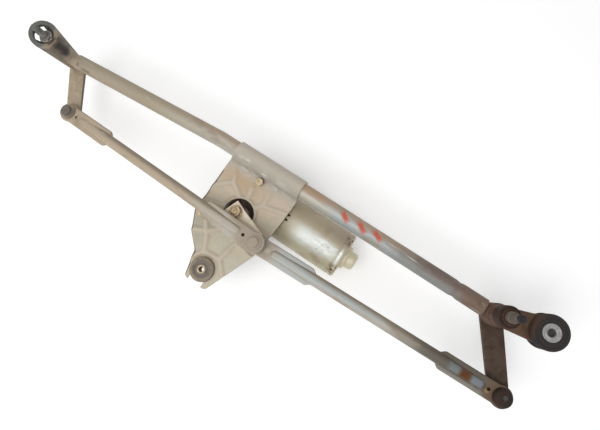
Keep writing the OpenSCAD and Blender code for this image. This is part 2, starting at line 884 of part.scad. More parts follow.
module flat_end(bore_r, beaded) {
    taper = 7;
    bead_x = 20;
    bead_r = 5.6;
    bead_rise = 2;
    bead_end = flat_len - 3;
    hole_r = 2;
    hole_x = 16;
    slice = 0.2;
    difference() {
        union() {
            linear_extrude(flat_h, center = true) {
                circle(d = eye_d);
                translate([0, -flat_w / 2]) square([flat_len - taper, flat_w]);
            }
            hull() {
                translate([flat_len - taper - slice, 0, 0]) cube([slice, flat_w, flat_h], center = true);
                translate([flat_len, 0, 0]) rotate([0, 90, 0]) cylinder(d = link_d, h = slice, $fn = 32);
            }
            if (beaded) linear_extrude(flat_h / 2 + bead_rise)
                polygon(concat(arc([bead_x + bead_r, 0], bead_r, 90, 270),
                    [[bead_end, -bead_r], [bead_end, bead_r]]));
        }
        translate([0, 0, -flat_h]) cylinder(r = bore_r + seat_gap, h = 2 * flat_h);
        translate([hole_x, 0, -flat_h]) cylinder(r = hole_r, h = 2 * flat_h);
    }
}

module link_rod(len, lever_bead) {
    flat_end(socket_r, true);
    translate([len, 0, 0]) mirror([1, 0, 0]) flat_end(cup_d / 2, lever_bead);
    translate([flat_len, 0, 0]) rotate([0, 90, 0]) cylinder(d = link_d, h = len - 2 * flat_len);
}

cup_r = cup_d / 2;
cup_wall = 1.2;
cup_low = -4.3;

module domed_cup() {
    top = 11;
    dome = 4;
    crown_r = cup_r - 4;
    color("#5f5850") rotate_extrude()
        polygon([[cup_r - cup_wall, cup_low], [cup_r, cup_low], [cup_r, top - dome], [cup_r - 1.2, top - 1.6],
            [crown_r, top - 0.4], [0, top], [0, top - 1.6], [crown_r, top - 2],
            [cup_r - cup_wall, top - dome - 0.8]]);
}

module stepped_cup() {
    step = 5.8;
    top = 9;
    button_r = 6.9;
    edge = 0.8;
    color("#756c61") rotate_extrude()
        polygon([[cup_r - cup_wall, cup_low], [cup_r, cup_low], [cup_r, step - edge], [cup_r - edge, step],
            [button_r, step], [button_r, top - edge], [button_r - edge, top], [0, top],
            [0, top - cup_wall], [button_r - cup_wall, top - cup_wall],
            [button_r - cup_wall, step - cup_wall], [cup_r - cup_wall, step - cup_wall]]);
}

module crank_socket(top) {
    open = 3.5;
    lip = 1.5;
    lip_h = 0.9;
    color("#c8c4b4") difference() {
        union() {
            translate([0, 0, -open]) cylinder(r = socket_r, h = open + top);
            translate([0, 0, flat_h / 2 + seat_gap]) cylinder(r = socket_r + lip, h = lip_h);
        }
        sphere(ball_r + pass_gap);
    }
}

module left_link_rod() {
    color("#93897d") on_link(left_ball, left_link_z) link_rod(link_len(left_ball, left_link_z), false);
}

module left_ball_cup() {
    on_link(left_ball, left_link_z) translate([link_len(left_ball, left_link_z), 0, 0]) stepped_cup();
}

module left_crank_socket() {
    on_link(left_ball, left_link_z) crank_socket(6.3);
}

module right_link_rod() {
    color("#8f8579") on_link(right_ball, right_link_z)
        link_rod(link_len(right_ball, right_link_z), true);
}

module right_ball_cup() {
    on_link(right_ball, right_link_z) translate([link_len(right_ball, right_link_z), 0, 0]) domed_cup();
}

module right_crank_socket() {
    on_link(right_ball, right_link_z) crank_socket(3.5);
}

in_part_frame() frame_tube();
in_part_frame() motor_bracket();
in_part_frame() left_pivot_housing();
in_part_frame() right_pivot_housing();
in_part_frame() left_spindle_bushes();
in_part_frame() right_spindle_bushes();
in_part_frame() bracket_grommet();
in_part_frame() bracket_sleeve();
in_part_frame() right_grommet();
in_part_frame() right_sleeve();
in_part_frame() gearbox_housing();
in_part_frame() gearbox_cover();
in_part_frame() cover_screws();
in_part_frame() motor_screws();
in_part_frame() motor_can();
in_part_frame() field_magnets();
in_part_frame() brush_holder();
in_part_frame() carbon_brushes();
in_part_frame() output_bush();
in_part_frame() worm_end_bush();
in_part_frame() middle_bearing();
in_part_frame() rear_bearing();
in_part_frame() connector_shell();
in_part_frame() connector_blades();
in_part_frame() armature_shaft();
in_part_frame() worm();
in_part_frame() armature_core();
in_part_frame() armature_windings();
in_part_frame() commutator();
in_part_frame() output_shaft();
in_part_frame() worm_wheel();
in_part_frame() crank_arm();
in_part_frame() crank_lock_washer();
in_part_frame() crank_nut();
in_part_frame() crank_ball_pin();
in_part_frame() left_lever();
in_part_frame() left_spindle();
in_part_frame() left_washer();
in_part_frame() left_circlip();
in_part_frame() left_ball_stud();
in_part_frame() right_lever();
in_part_frame() right_spindle();
in_part_frame() right_washer();
in_part_frame() right_circlip();
in_part_frame() right_ball_stud();
in_part_frame() left_link_rod();
in_part_frame() left_ball_cup();
in_part_frame() left_crank_socket();
in_part_frame() right_link_rod();
in_part_frame() right_ball_cup();
in_part_frame() right_crank_socket();
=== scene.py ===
# Windshield wiper linkage: finished pieces, materials and a stage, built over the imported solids.
# Objects are in metres, in the frame of the solids. Profiles and outlines are in millimetres.
import json
import math

import bmesh
import bpy
import numpy as np
from mathutils import Matrix, Vector


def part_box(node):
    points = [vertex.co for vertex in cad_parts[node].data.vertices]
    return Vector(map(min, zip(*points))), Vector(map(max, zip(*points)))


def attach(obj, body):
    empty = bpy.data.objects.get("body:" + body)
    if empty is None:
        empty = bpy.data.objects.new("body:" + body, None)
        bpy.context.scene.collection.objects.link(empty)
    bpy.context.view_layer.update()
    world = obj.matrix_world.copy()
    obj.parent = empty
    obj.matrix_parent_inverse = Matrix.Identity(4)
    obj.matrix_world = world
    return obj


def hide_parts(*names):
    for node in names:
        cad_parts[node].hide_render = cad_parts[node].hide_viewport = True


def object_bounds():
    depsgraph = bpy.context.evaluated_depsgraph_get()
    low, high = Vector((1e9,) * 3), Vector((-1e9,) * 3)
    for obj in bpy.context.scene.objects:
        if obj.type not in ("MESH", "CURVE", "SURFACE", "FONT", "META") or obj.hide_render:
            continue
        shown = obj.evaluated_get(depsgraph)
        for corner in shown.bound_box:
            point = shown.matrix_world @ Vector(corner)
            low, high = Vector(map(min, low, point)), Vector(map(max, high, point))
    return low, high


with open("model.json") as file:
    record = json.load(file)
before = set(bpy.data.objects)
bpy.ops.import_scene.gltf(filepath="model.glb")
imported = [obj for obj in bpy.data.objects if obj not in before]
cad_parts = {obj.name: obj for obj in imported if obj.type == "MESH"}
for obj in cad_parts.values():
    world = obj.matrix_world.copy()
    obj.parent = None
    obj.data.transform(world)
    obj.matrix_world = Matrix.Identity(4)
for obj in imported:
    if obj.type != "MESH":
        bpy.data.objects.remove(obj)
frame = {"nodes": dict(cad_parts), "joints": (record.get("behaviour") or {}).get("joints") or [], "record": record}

bl_info = {
    "name": "Wiper linkage finish",
    "version": (1, 0, 0),
    "blender": (4, 5, 0),
    "location": "View3D > Sidebar > Wiper",
    "description": "Finished pieces and materials for a windshield wiper linkage with its motor",
    "category": "Object",
}

MM = 0.001
CAD_BOX = [list(corner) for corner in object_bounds()]
RECORD = frame["record"]
BODY = {node: body for body, nodes in RECORD["behaviour"]["bodies"].items() for node in nodes}
JOINT = {joint["name"]: Vector(joint["pos_m"]) for joint in frame["joints"]}
MOUNT = {mount["name"]: Vector(mount["pos_m"]) for mount in RECORD["mounts"]}
TUBE = JOINT["right_spindle_swing"]
SHAFT = JOINT["crank_turn"]
MOTOR = JOINT["armature_spin"]
UP = (0, 0, 1)
# The circle that the motor screws stand on, their turns, and the top of the bracket's plate, in millimetres
SCREW_CIRCLE = 47.0
SCREW_TURNS = [math.radians(turn) for turn in (90, 210, 330)]
PLATE_TOP = 8.0
# Width of worn edges, and depth of the corners that take soil and painted shade, in millimetres, and how
# ragged the border of a mask is
EDGE_RADIUS = 0.8
CORNER_REACH = 9.0
RAGGED = 0.7


def linear(hex_colour):
    """An sRGB hex colour as linear RGBA. A colour that is linear already is passed on."""
    if not isinstance(hex_colour, str):
        return list(hex_colour)
    channels = [int(hex_colour[i:i + 2], 16) / 255 for i in (1, 3, 5)]
    return [c / 12.92 if c <= 0.04045 else ((c + 0.055) / 1.055) ** 2.4 for c in channels] + [1.0]


# Settings that a user would change

def length(name, description, millimetres):
    """A length that the panel shows in scene units."""
    return bpy.props.FloatProperty(name=name, description=description, default=millimetres * MM,
                                   unit="LENGTH", precision=5)


def colour(name, description, hex_colour):
    """A colour that the panel shows as a swatch."""
    return bpy.props.FloatVectorProperty(name=name, description=description, subtype="COLOR", size=4,
                                         min=0.0, max=1.0, default=linear(hex_colour))


class WiperSizes(bpy.types.PropertyGroup):
    """Sizes of the finished pieces that the solids don't hold."""
    tube_wall: length("Tube wall", "Wall thickness of the frame tube", 1.5)
    tube_bend: bpy.props.FloatProperty(name="Tube bend", default=math.radians(4), subtype="ANGLE",
                                       description="Angle between the two runs of the frame tube")
    sheet: length("Sheet", "Thickness of the stamped bracket", 2.4)
    ridge_height: length("Ridge height", "Height of the net of ridges pressed into the bracket", 1.5)
    ridge_width: length("Ridge width", "Width of those ridges", 12.0)
    link_diameter: length("Link diameter", "Diameter of the round part of the link rods", 14)
    link_flat: length("Link flat", "Thickness of the flattened ends of the link rods", 5)
    bead_rise: length("Bead rise", "Height of the bead pressed into the flattened ends", 2.2)
    thread_pitch: length("Thread pitch", "Pitch of the threads on the spindles and the shaft", 1.25)


class WiperColours(bpy.types.PropertyGroup):
    """Colours of the main finishes."""
    tube: colour("Tube", "Dull zinc of the frame tube", "#aca79a")
    tube_film: colour("Tube film", "Brown film on the upper half of the tube", "#a5927f")
    bracket: colour("Bracket", "Dusty zinc of the stamped bracket", "#c0b29e")
    casting: colour("Left casting", "Grey casting of the left tower", "#8d867c")
    dark_casting: colour("Right casting", "Rust-brown casting of the right pivot", "#604b3e")
    rubber: colour("Rubber", "Black rubber of the mounts", "#302d2c")
    link: colour("Links", "Dull zinc of the link rods", "#a9a398")
    left_lever: colour("Left lever", "Tan film on the left lever", "#a2937d")
    right_lever: colour("Right lever", "Rust-brown film on the right lever", "#4f4037")
    yellow_zinc: colour("Yellow zinc", "Yellow chromate on nuts and screws", "#c4b28e")
    can: colour("Motor can", "Zinc of the motor can", "#b3a78f")
    alloy: colour("Gearbox", "Grey die-cast gearbox", "#a3a5a5")
    marker: colour("Marker", "Orange-red paint dabs on the tube", "#b8573f")


# Materials

def node(tree, kind, settings=None, inputs=None):
    """Adds a node, sets its attributes, and sets or links its inputs by name or number."""
    made = tree.nodes.new(kind)
    for key, value in (settings or {}).items():
        setattr(made, key, value)
    for key, value in (inputs or {}).items():
        if isinstance(value, bpy.types.Node):
            value = value.outputs[0]
        if isinstance(value, bpy.types.NodeSocket):
            tree.links.new(value, made.inputs[key])
        else:
            made.inputs[key].default_value = value
    return made


def mask(tree, where, kind, low, high, size=8.0, stretch=(1, 1, 1), turn=0.0, toward=UP, point=(0, 0, 0),
         reach=(1, 1, 1)):
    """A value from 0 to 1 over the surface: in patches, by facing, along a line, near a point, in a box, at
    edges or in corners. low and high are the values that give 0 and 1. Lengths are in millimetres, those of a
    box in shares of its half sizes, reach. size is that of the patches, which make every border ragged."""
    soft = {"interpolation_type": "SMOOTHSTEP"}
    grain = node(tree, "ShaderNodeMapping", {"vector_type": "TEXTURE"}, {
        "Vector": where["Object"], "Rotation": (0, 0, turn), "Scale": [size * MM * s for s in stretch]})
    noise = node(tree, "ShaderNodeTexNoise", {}, {
        "Vector": grain, "Scale": 1.0, "Detail": 4.0, "Roughness": 0.6})
    if kind == "patches":
        return node(tree, "ShaderNodeMapRange", soft, {0: noise, 1: low, 2: high})
    if kind in ("along", "near"):
        low, high = low * MM, high * MM
    if kind in ("facing", "along"):
        read = where["Normal" if kind == "facing" else "Object"]
        value = node(tree, "ShaderNodeVectorMath", {"operation": "DOT_PRODUCT"}, {0: read, 1: toward})
    elif kind == "near":
        value = node(tree, "ShaderNodeVectorMath", {"operation": "DISTANCE"}, {0: where["Object"], 1: point})
    elif kind == "box":
        local = node(tree, "ShaderNodeMapping", {"vector_type": "TEXTURE"}, {
            "Vector": where["Object"], "Location": point, "Rotation": (0, 0, turn),
            "Scale": [half * MM for half in reach]})
        away = node(tree, "ShaderNodeVectorMath", {"operation": "ABSOLUTE"}, {0: local})
        away = node(tree, "ShaderNodeSeparateXYZ", {}, {0: away}).outputs
        value = node(tree, "ShaderNodeMath", {"operation": "MAXIMUM"}, {0: away["X"], 1: away["Y"]})
    elif kind == "edges":
        eased_normal = node(tree, "ShaderNodeBevel", {"samples": 4}, {"Radius": EDGE_RADIUS * MM})
        normal = node(tree, "ShaderNodeNewGeometry").outputs["Normal"]
        value = node(tree, "ShaderNodeVectorMath", {"operation": "DOT_PRODUCT"}, {0: eased_normal, 1: normal})
    elif kind == "corners":
        value = node(tree, "ShaderNodeAmbientOcclusion", {"samples": 8}, {"Distance": CORNER_REACH * MM})
    else:
        raise ValueError(kind)
    value = value.outputs["AO" if kind == "corners" else "Value"]
    spread = RAGGED * (high - low)
    ragged = node(tree, "ShaderNodeMath", {"operation": "MULTIPLY_ADD"}, {0: noise, 1: spread, 2: value})
    return node(tree, "ShaderNodeMapRange", soft, {0: ragged, 1: low + spread / 2, 2: high + spread / 2})


def surface(name, base, rough, metal, layers, bumps, specular=0.5):
    """A material: a base under layers of (colour, roughness, metallic, masks), with bumps of (height, mask).
    Each mask is a dict of settings for mask(), and a layer covers the product of its masks. A soiled surface
    has a lower specular level."""
    material = bpy.data.materials.new(name)
    material.use_nodes = True
    tree = material.node_tree
    tree.nodes.clear()
    where = node(tree, "ShaderNodeTexCoord").outputs
    metals = {layer[2] for layer in layers} | {metal}
    tint, roughness, metallic = linear(base), rough, metal
    for cover_colour, cover_rough, cover_metal, masks in layers:
        cover = mask(tree, where, **masks[0])
        for more in masks[1:]:
            factors = {0: cover, 1: mask(tree, where, **more)}
            cover = node(tree, "ShaderNodeMath", {"operation": "MULTIPLY"}, factors)
        tints = {0: cover, 6: tint, 7: linear(cover_colour)}
        tint = node(tree, "ShaderNodeMix", {"data_type": "RGBA"}, tints).outputs[2]
        roughness = node(tree, "ShaderNodeMix", {}, {0: cover, 2: roughness, 3: cover_rough}).outputs[0]
        if len(metals) > 1:
            metallic = node(tree, "ShaderNodeMix", {}, {0: cover, 2: metallic, 3: cover_metal}).outputs[0]
    inputs = {"Base Color": tint, "Roughness": roughness, "Metallic": metallic,
              "Specular IOR Level": specular}
    for height, bump in bumps:
        relief = {"Height": mask(tree, where, **bump), "Distance": height * MM, "Strength": 1.0}
        if "Normal" in inputs:
            relief["Normal"] = inputs["Normal"]
        inputs["Normal"] = node(tree, "ShaderNodeBump", {}, relief)
    shaded = node(tree, "ShaderNodeBsdfPrincipled", {}, inputs)
    node(tree, "ShaderNodeOutputMaterial", {}, {"Surface": shaded})
    return material


# Settings of the masks that the finishes use

def patches(size, low, high, stretch=(1, 1, 1), turn=0.0):
    """Blotches of a size in millimetres, stretched and turned."""
    return dict(kind="patches", size=size, low=low, high=high, stretch=stretch, turn=turn)


def facing(toward, low, high, size=8):
    """Where the surface looks towards one side."""
    return dict(kind="facing", toward=toward, low=low, high=high, size=size)


def along(axis, low, high, size=8):
    """From one place to another along an axis, in millimetres."""
    toward = {"x": (1, 0, 0), "y": (0, 1, 0), "z": UP}[axis]
    return dict(kind="along", toward=toward, low=low, high=high, size=size)


def near(point, low, high, size=3):
    """Within distances in millimetres of a point in metres."""
    return dict(kind="near", point=point, low=low, high=high, size=size)


def box(point, reach, turn, size, low, high):
    """Above and below a rectangle about a point in metres, its half sizes in millimetres."""
    return dict(kind="box", point=point, reach=(*reach, 1), turn=turn, size=size, low=low, high=high)


def corners(size=3, low=0.6, high=0.2):
    """In hollows, where soil gathers and shade falls: a mask for soil and painted shade."""
    return dict(kind="corners", size=size, low=low, high=high)


def edges(size=2, low=0.985, high=0.88):
    """On outer edges, which are rubbed bare."""
    return dict(kind="edges", size=size, low=low, high=high)


# Dents in the tube: middle, half length along the tube, depth and width, in millimetres
DENTS = [((-298.0, 126.0, 22.6), 0.5, 1.5, 3.0), ((-284.0, 124.0, 20.6), 6.0, 1.3, 1.8),
         ((289.0, 146.5, 24.0), 0.5, 1.7, 2.4)]
# Colours of soil, which also serves as painted shade in hollows, of rust, and of painted shade in the hollows of
# the dark casting
SOIL_AND_SHADE, RUST, SHADE = "#4b4138", "#5f3a20", "#241e1b"
# The grain of plating, castings and mouldings, drawn coarser than it is so that it shows
GRAIN = (0.1, patches(1.3, 0.35, 0.7))


def finishes(colours):
    """The materials: name, colour, roughness, metallic, layers, bumps and, for some, specular level."""
    left, right, foot = JOINT["left_spindle_swing"], MOUNT["right_mount"] / MM, MOUNT["bracket_mount"]
    lean = math.atan2(*reversed((JOINT["left_link_swing"] - LEFT_BALL)[:2]))
    back = (JOINT["right_link_swing"] - RIGHT_BALL).normalized()
    pivot_x, ball_x = left.x / MM, RIGHT_BALL.x / MM
    # Rubbed spots beside the two eyes of the right link
    lever_spot = RIGHT_BALL + back * (16.5 * MM) + Vector((0, -2.6, 3.4)) * MM
    crank_spot = JOINT["right_link_swing"] - back * (16 * MM) + Vector((0, 0, 2 * MM))

    def on_bead(distance, half, width=4.4, aside=0.0):
        """A patch on the bead of the right link, at a distance from its ball."""
        across = Vector((-back.y, back.x, 0)) * aside
        spot = RIGHT_BALL + (back * distance + across) * MM
        return box(spot, (half, width), math.atan2(-back.y, -back.x), 6, 1.5, 0.5)

    # Plain dabs of marker paint on the tube: middle, half length and turn of each
    dabs = [((110.5, 146.0), 6.0, -34), ((133.5, 146.0), 6.5, -30), ((153.5, 147.5), 6.0, -26)]
    dab_half_width = 2.6
    paint = []
    for (x, y), half, turn in dabs:
        dab = box((x * MM, y * MM, TUBE.z), (half, dab_half_width), math.radians(turn), 3.0, 1.7, 0.4)
        paint.append((colours.marker, 0.6, 0.0, [dab]))
    # A darker patch over each dent: dust and painted shade in the dent
    dent_dust_and_shade = []
    for spot, half, _, width in DENTS:
        dent = box([c * MM for c in spot], (half + 2, width), 0.07, 2, 1.3, 0.3)
        dent_dust_and_shade.append(("#857866", 0.8, 0.1, [dent, facing(UP, 0.2, 0.5, 3)]))
    sheet_flat = along("y", 120, 112)
    # Where the can faces the key lamp, from 50 mm along it on: the place of its painted highlight
    highlight_facing, bright = facing((0, -0.24, 0.97), 0.86, 0.985, 14), along("x", 50, 84, 18)
    return {
        # Aged zinc on drawn tube: satin grey under a thin brown film, tan towards the left end and dark at
        # the right end, streaked and pitted, and grey-blue on the half that faces the lamps: bare zinc with a
        # painted reflection.
        "tube": ("Zinc plated drawn tube", colours.tube, 0.48, 0.35, [
            (colours.tube_film, 0.6, 0.2, [facing((0, 0.9, 0.45), 0.2, 0.85, 12)]),
            ("#9e927d", 0.65, 0.1, [along("x", -60, -190, 25)]),
            ("#a88e75", 0.7, 0.1, [box((64 * MM, 151 * MM, 0), (17, 6), 0, 9, 1.5, 0.3)]),
            # Grey-blue on the half that faces the lamps: bare zinc with a painted reflection
            ("#979b99", 0.45, 0.4, [along("x", 55, 120, 20), facing((0, -0.8, 0.6), 0.2, 0.75, 14)]),
            ("#848481", 0.5, 0.3, [along("x", 150, 215, 20), facing((0, -0.8, 0.6), 0.1, 0.7, 14)]),
            ("#6a5d55", 0.6, 0.2, [along("x", 150, 235, 30), facing((0, 0.9, 0.45), -0.4, 0.6, 10)]),
            ("#6f5b4e", 0.6, 0.2, [along("x", 248, 276, 14)]),
            ("#8f8170", 0.7, 0.1, [patches(22, 0.54, 0.76, (3, 1, 1))]),
            ("#bdbab1", 0.4, 0.5, [patches(5, 0.62, 0.77, (9, 1, 1))]),
            (SOIL_AND_SHADE, 0.8, 0.1, [patches(2.2, 0.68, 0.78)]),
            *dent_dust_and_shade, *paint],
            [(0.10, patches(4, 0.3, 0.7, (6, 1, 1))), GRAIN]),
        # Dust on stamped zinc plated sheet: soft beige with a warm stain, greyer at the foot and over the tube,
        # where pale specks show and the side that faces the lamps has a painted reflection, painted shade on the
        # flanks of the ridges, soil and painted shade in the hollows, pale rubbed edges and dark cut ones.
        "bracket": ("Stamped zinc plated sheet", colours.bracket, 0.7, 0.1, [
            ("#bbb4a1", 0.7, 0.1, [along("y", 84, 48, 24)]),
            ("#b1ab99", 0.6, 0.2, [patches(26, 0.5, 0.68)]),
            ("#c4b49c", 0.8, 0.0, [patches(14, 0.5, 0.7)]),
            ("#a9a493", 0.7, 0.1, [along("x", -8, -30, 14), along("y", 84, 56, 14)]),
            ("#b9a389", 0.8, 0.0, [box((-20 * MM, 116 * MM, 0), (30, 13), -0.2, 12, 1.5, 0.2)]),
            ("#b5ac9e", 0.65, 0.1, [along("y", 118, 132, 12)]),
            # Greyer on the side of the wrap that faces the lamps: zinc with a painted reflection
            ("#a69f92", 0.65, 0.1, [along("y", 118, 130, 14), facing((0, 1, 0), 0.1, -0.5, 8)]),
            ("#c3c2bb", 0.6, 0.2, [box((-4 * MM, 136 * MM, 0), (34, 5), 0, 9, 1.6, 0.3),
                                   patches(7, 0.45, 0.62, (2, 1, 1))]),
            ("#d6d4cc", 0.6, 0.2, [box((6 * MM, 130 * MM, 0), (30, 5), 0, 8, 1.6, 0.4),
                                   patches(3.5, 0.62, 0.7)]),
            ("#beb3a0", 0.7, 0.05, [along("z", 8.5, 9.4, 6), sheet_flat]),
            # Darker on the sloping flanks of the ridges and the rim: painted shade
            ("#b0a28d", 0.75, 0.05, [facing(UP, 0.985, 0.9, 6), sheet_flat]),
            # Soil and painted shade in the hollows
            ("#7d6f60", 0.8, 0.0, [corners(4, 0.7, 0.25)]),
            ("#cabda7", 0.6, 0.2, [edges(3, 0.99, 0.9)]),
            ("#63584b", 0.75, 0.1, [facing(UP, 0.3, 0.1, 4), sheet_flat]),
            ("#6b5f51", 0.8, 0.0, [facing((-1, 0, 0), 0.25, 0.5, 3), along("x", -12, -18, 3), sheet_flat,
                                   near((SHAFT.x, SHAFT.y, PLATE_TOP * MM), 25, 28)]),
            ("#8d7f6b", 0.8, 0.0, [patches(3, 0.66, 0.8)])],
            [(0.25, patches(9, 0.3, 0.75)), GRAIN]),
        # Thick zinc plated steel: rubbed pale faces, a brown film in patches, and soil and painted shade in the
        # corners.
        "crank": ("Zinc plated steel plate", "#d4c5b0", 0.5, 0.25, [
            ("#ddd0bc", 0.45, 0.35, [patches(10, 0.45, 0.65)]),
            ("#a18d78", 0.65, 0.2, [patches(5, 0.58, 0.72)]),
            # Soil and painted shade in the corners
            ("#5f5145", 0.75, 0.1, [corners(3, 0.7, 0.25)]),
            ("#d8cdbb", 0.4, 0.5, [edges(2.5, 0.995, 0.92)])], [GRAIN]),
        # Oxidised die casting: matt grey grain, a dark grey-green ring that is tan on its right and darker with
        # painted shade on the side that faces away from the lamps, a paler hub with a dark crescent of painted
        # shade beside it, tan dust on the flanks and collar, dark painted shade in the pocket that faces the tube,
        # and soil and painted shade in the hollows.
        "casting": ("Die-cast aluminium", colours.casting, 0.65, 0.25, [
            ("#968d80", 0.7, 0.2, [patches(9, 0.5, 0.68)]),
            ("#948979", 0.8, 0.1, [facing((0.4, -0.9, 0.1), 0.1, 0.6), along("z", 68, 58, 6)]),
            ("#5d5e59", 0.6, 0.3, [along("x", pivot_x + 13, pivot_x + 5, 8), along("z", 55, 61, 5)]),
            ("#a89f94", 0.6, 0.3, [near((left.x, left.y, 60 * MM), 10.5, 8.5, 4)]),
            ("#968672", 0.7, 0.1, [box((left.x + 15 * MM, left.y, 0), (6, 12), 0, 5, 1.5, 0.5),
                                   along("z", 44, 50, 4)]),
            # Dark crescent beside the hub: painted shade of the hollow seen through the ring
            ("#3a2c26", 0.8, 0.0, [
                box((left.x + 11.6 * MM, left.y - 1.4 * MM, 0), (2.0, 5.5), -0.16, 3, 1.5, 0.5),
                along("z", 42, 48, 3)]),
            # Darker on the side of the ring that faces away from the lamps: painted shade
            ("#4c4744", 0.7, 0.2, [facing((-0.3, 0.95, 0), 0.5, 0.9), along("z", 56, 62, 5)]),
            # Dark pocket between the ribs that faces the tube: painted shade
            ("#3d3733", 0.8, 0.1, [box((left.x + 10.5 * MM, left.y + 1.5 * MM, 0), (9, 8), 0.07, 7, 1.7, 0.2),
                                   along("z", 27, 36, 6), facing((1, 0, 0), 0.15, 0.5, 4)]),
            ("#a29381", 0.75, 0.1, [along("z", 31, 26, 6)]),
            # Soil and painted shade in the hollows
            ("#332e2a", 0.85, 0.0, [corners(4)]),
            ("#a39b8d", 0.55, 0.3, [edges(2, 0.99, 0.9)])],
            [(0.25, patches(3.5, 0.3, 0.75)), GRAIN]),
        # The same casting under rust and burnt grease: near-black brown on the barrel, a lighter brown on the
        # arm, with spots of rust.
        "dark_casting": ("Die-cast aluminium, rust stained", colours.dark_casting, 0.7, 0.1, [
            ("#543f30", 0.7, 0.1, [patches(12, 0.46, 0.62)]),
            ("#664f3c", 0.75, 0.1, [patches(8, 0.56, 0.72)]),
            ("#36241d", 0.7, 0.0, [along("z", 36, 42, 6)]),
            (RUST, 0.85, 0.0, [patches(4, 0.64, 0.76)]),
            (SHADE, 0.7, 0.0, [corners(4)]),
            ("#6b5646", 0.55, 0.2, [edges()])],
            [(0.3, patches(4, 0.3, 0.75)), GRAIN], 0.2),
        # Moulded rubber: near-black and matt, with a rust stain on its inner side.
        "rubber": ("Moulded rubber", colours.rubber, 0.85, 0.0, [
            ("#38322f", 0.85, 0.0, [patches(8, 0.5, 0.7)]),
            ("#46352c", 0.9, 0.0, [along("x", right.x - 10, right.x - 18, 6)]),
            ("#47423e", 0.85, 0.0, [edges(3, 0.985, 0.86)])], [GRAIN], 0.25),
        # Moulded rubber that years of dust have turned brown-grey.
        "dusty_rubber": ("Moulded rubber, dusty", "#756a5c", 0.9, 0.0, [
            ("#8b7f6c", 0.9, 0.0, [facing(UP, 0.3, 0.95, 6)]),
            ("#746b64", 0.9, 0.0, [near((foot.x, foot.y, 12 * MM), 12, 11, 2)]),
            ("#62584d", 0.85, 0.0, [patches(5, 0.54, 0.7)]),
            ("#978b77", 0.85, 0.0, [edges(3, 0.98, 0.86)])], [GRAIN]),
        # Turned steel with dulled zinc: mid grey in paler and darker patches, with bright rubbed edges.
        "bright_zinc": ("Zinc plated turned steel", "#8a8888", 0.42, 0.7, [
            ("#9a9897", 0.4, 0.7, [patches(4, 0.5, 0.66)]),
            ("#5f5b58", 0.6, 0.4, [patches(2.2, 0.6, 0.74)]),
            # Soil and painted shade in the bore and the hollows
            ("#666463", 0.6, 0.4, [corners(2)]),
            ("#c9c7c4", 0.3, 0.9, [edges()])], [GRAIN]),
        # Oiled turned steel: grey with a brown oil film in patches and paler rubbed edges.
        "steel": ("Turned steel, oiled", "#928b82", 0.42, 0.65, [
            ("#8b765f", 0.5, 0.5, [patches(6, 0.45, 0.62)]),
            ("#4a403a", 0.5, 0.4, [patches(3, 0.56, 0.7)]),
            ("#b3aea6", 0.35, 0.8, [edges(1.5)])], [GRAIN]),
        # Spindle steel under old grease: dull grey-brown, greyer on the left one, with a blackened thread on
        # the right one.
        "spindle": ("Turned spindle steel", "#62584f", 0.6, 0.2, [
            ("#554c45", 0.6, 0.2, [patches(5, 0.5, 0.66)]),
            ("#7c7a75", 0.55, 0.3, [along("x", 0, -10, 5)]),
            ("#646560", 0.55, 0.3, [along("z", 72, 80, 3), along("x", 0, -10, 5)]),
            ("#242226", 0.5, 0.3, [along("z", 82, 86, 3), along("x", 0, 10, 5)]),
            # Soil and painted shade in the hollows
            ("#433b36", 0.6, 0.2, [corners(2)])], [GRAIN], 0.3),
        # Dulled zinc on flattened tube: grey, tan dust along the left link, a cool grey top on the right
        # link, and a brown film towards the right lever, where the bead has bare blue-grey patches and rust.
        "links": ("Zinc plated tube, flattened", colours.link, 0.55, 0.3, [
            ("#ab9c87", 0.7, 0.1, [along("x", 20, -90, 30)]),
            ("#9a8c78", 0.7, 0.1, [patches(16, 0.52, 0.7, (3, 1, 1), lean)]),
            ("#8f8170", 0.65, 0.15, [facing((0, 0.95, 0.3), 0.3, 0.9, 9)]),
            ("#9da09c", 0.5, 0.3, [along("x", 60, 80, 12), along("x", 240, 170, 20),
                                   facing(UP, 0.7, 0.97, 8)]),
            ("#5b5246", 0.6, 0.2, [along("x", 205, 290, 22)]),
            ("#5d564d", 0.55, 0.2, [on_bead(58, 40, 6.0)]),
            ("#7d786f", 0.55, 0.2, [on_bead(48, 36, 2.6, 9.0)]),
            ("#6e7373", 0.5, 0.3, [on_bead(58, 7)]),
            ("#71767c", 0.5, 0.3, [on_bead(31, 7)]),
            ("#57310f", 0.9, 0.0, [on_bead(44.5, 6.5, 5.0)]),
            ("#7b552d", 0.9, 0.0, [on_bead(45, 6, 5.4), patches(3.5, 0.56, 0.68)]),
            ("#62503f", 0.6, 0.2, [near(RIGHT_BALL, 24, 17, 6)]),
            ("#8d7048", 0.6, 0.3, [near(lever_spot, 3.2, 2.0, 2)]),
            ("#33261f", 0.65, 0.1, [near(RIGHT_BALL, 14.2, 13.2), along("x", ball_x - 3, ball_x + 3, 4)]),
            ("#9a8e7f", 0.65, 0.15, [near(JOINT["left_link_swing"], 34, 14, 8)]),
            ("#b1a793", 0.6, 0.2, [near(crank_spot, 4.2, 2.4, 2)]),
            ("#c4c0b6", 0.45, 0.4, [patches(4, 0.66, 0.8, (8, 1, 1), lean), along("x", 260, 220, 12)]),
            (SOIL_AND_SHADE, 0.8, 0.05, [patches(2, 0.68, 0.78)]),
            # Soil and painted shade in the hollows
            ("#41372f", 0.7, 0.1, [corners()])],
            [(0.10, patches(4, 0.3, 0.7, (5, 1, 1), lean)), GRAIN]),
        # Passivated steel strap: an even dull tan film with pale rubbed edges.
        "left_lever": ("Passivated steel strap", colours.left_lever, 0.7, 0.1, [
            ("#b0a088", 0.7, 0.1, [patches(12, 0.48, 0.66)]),
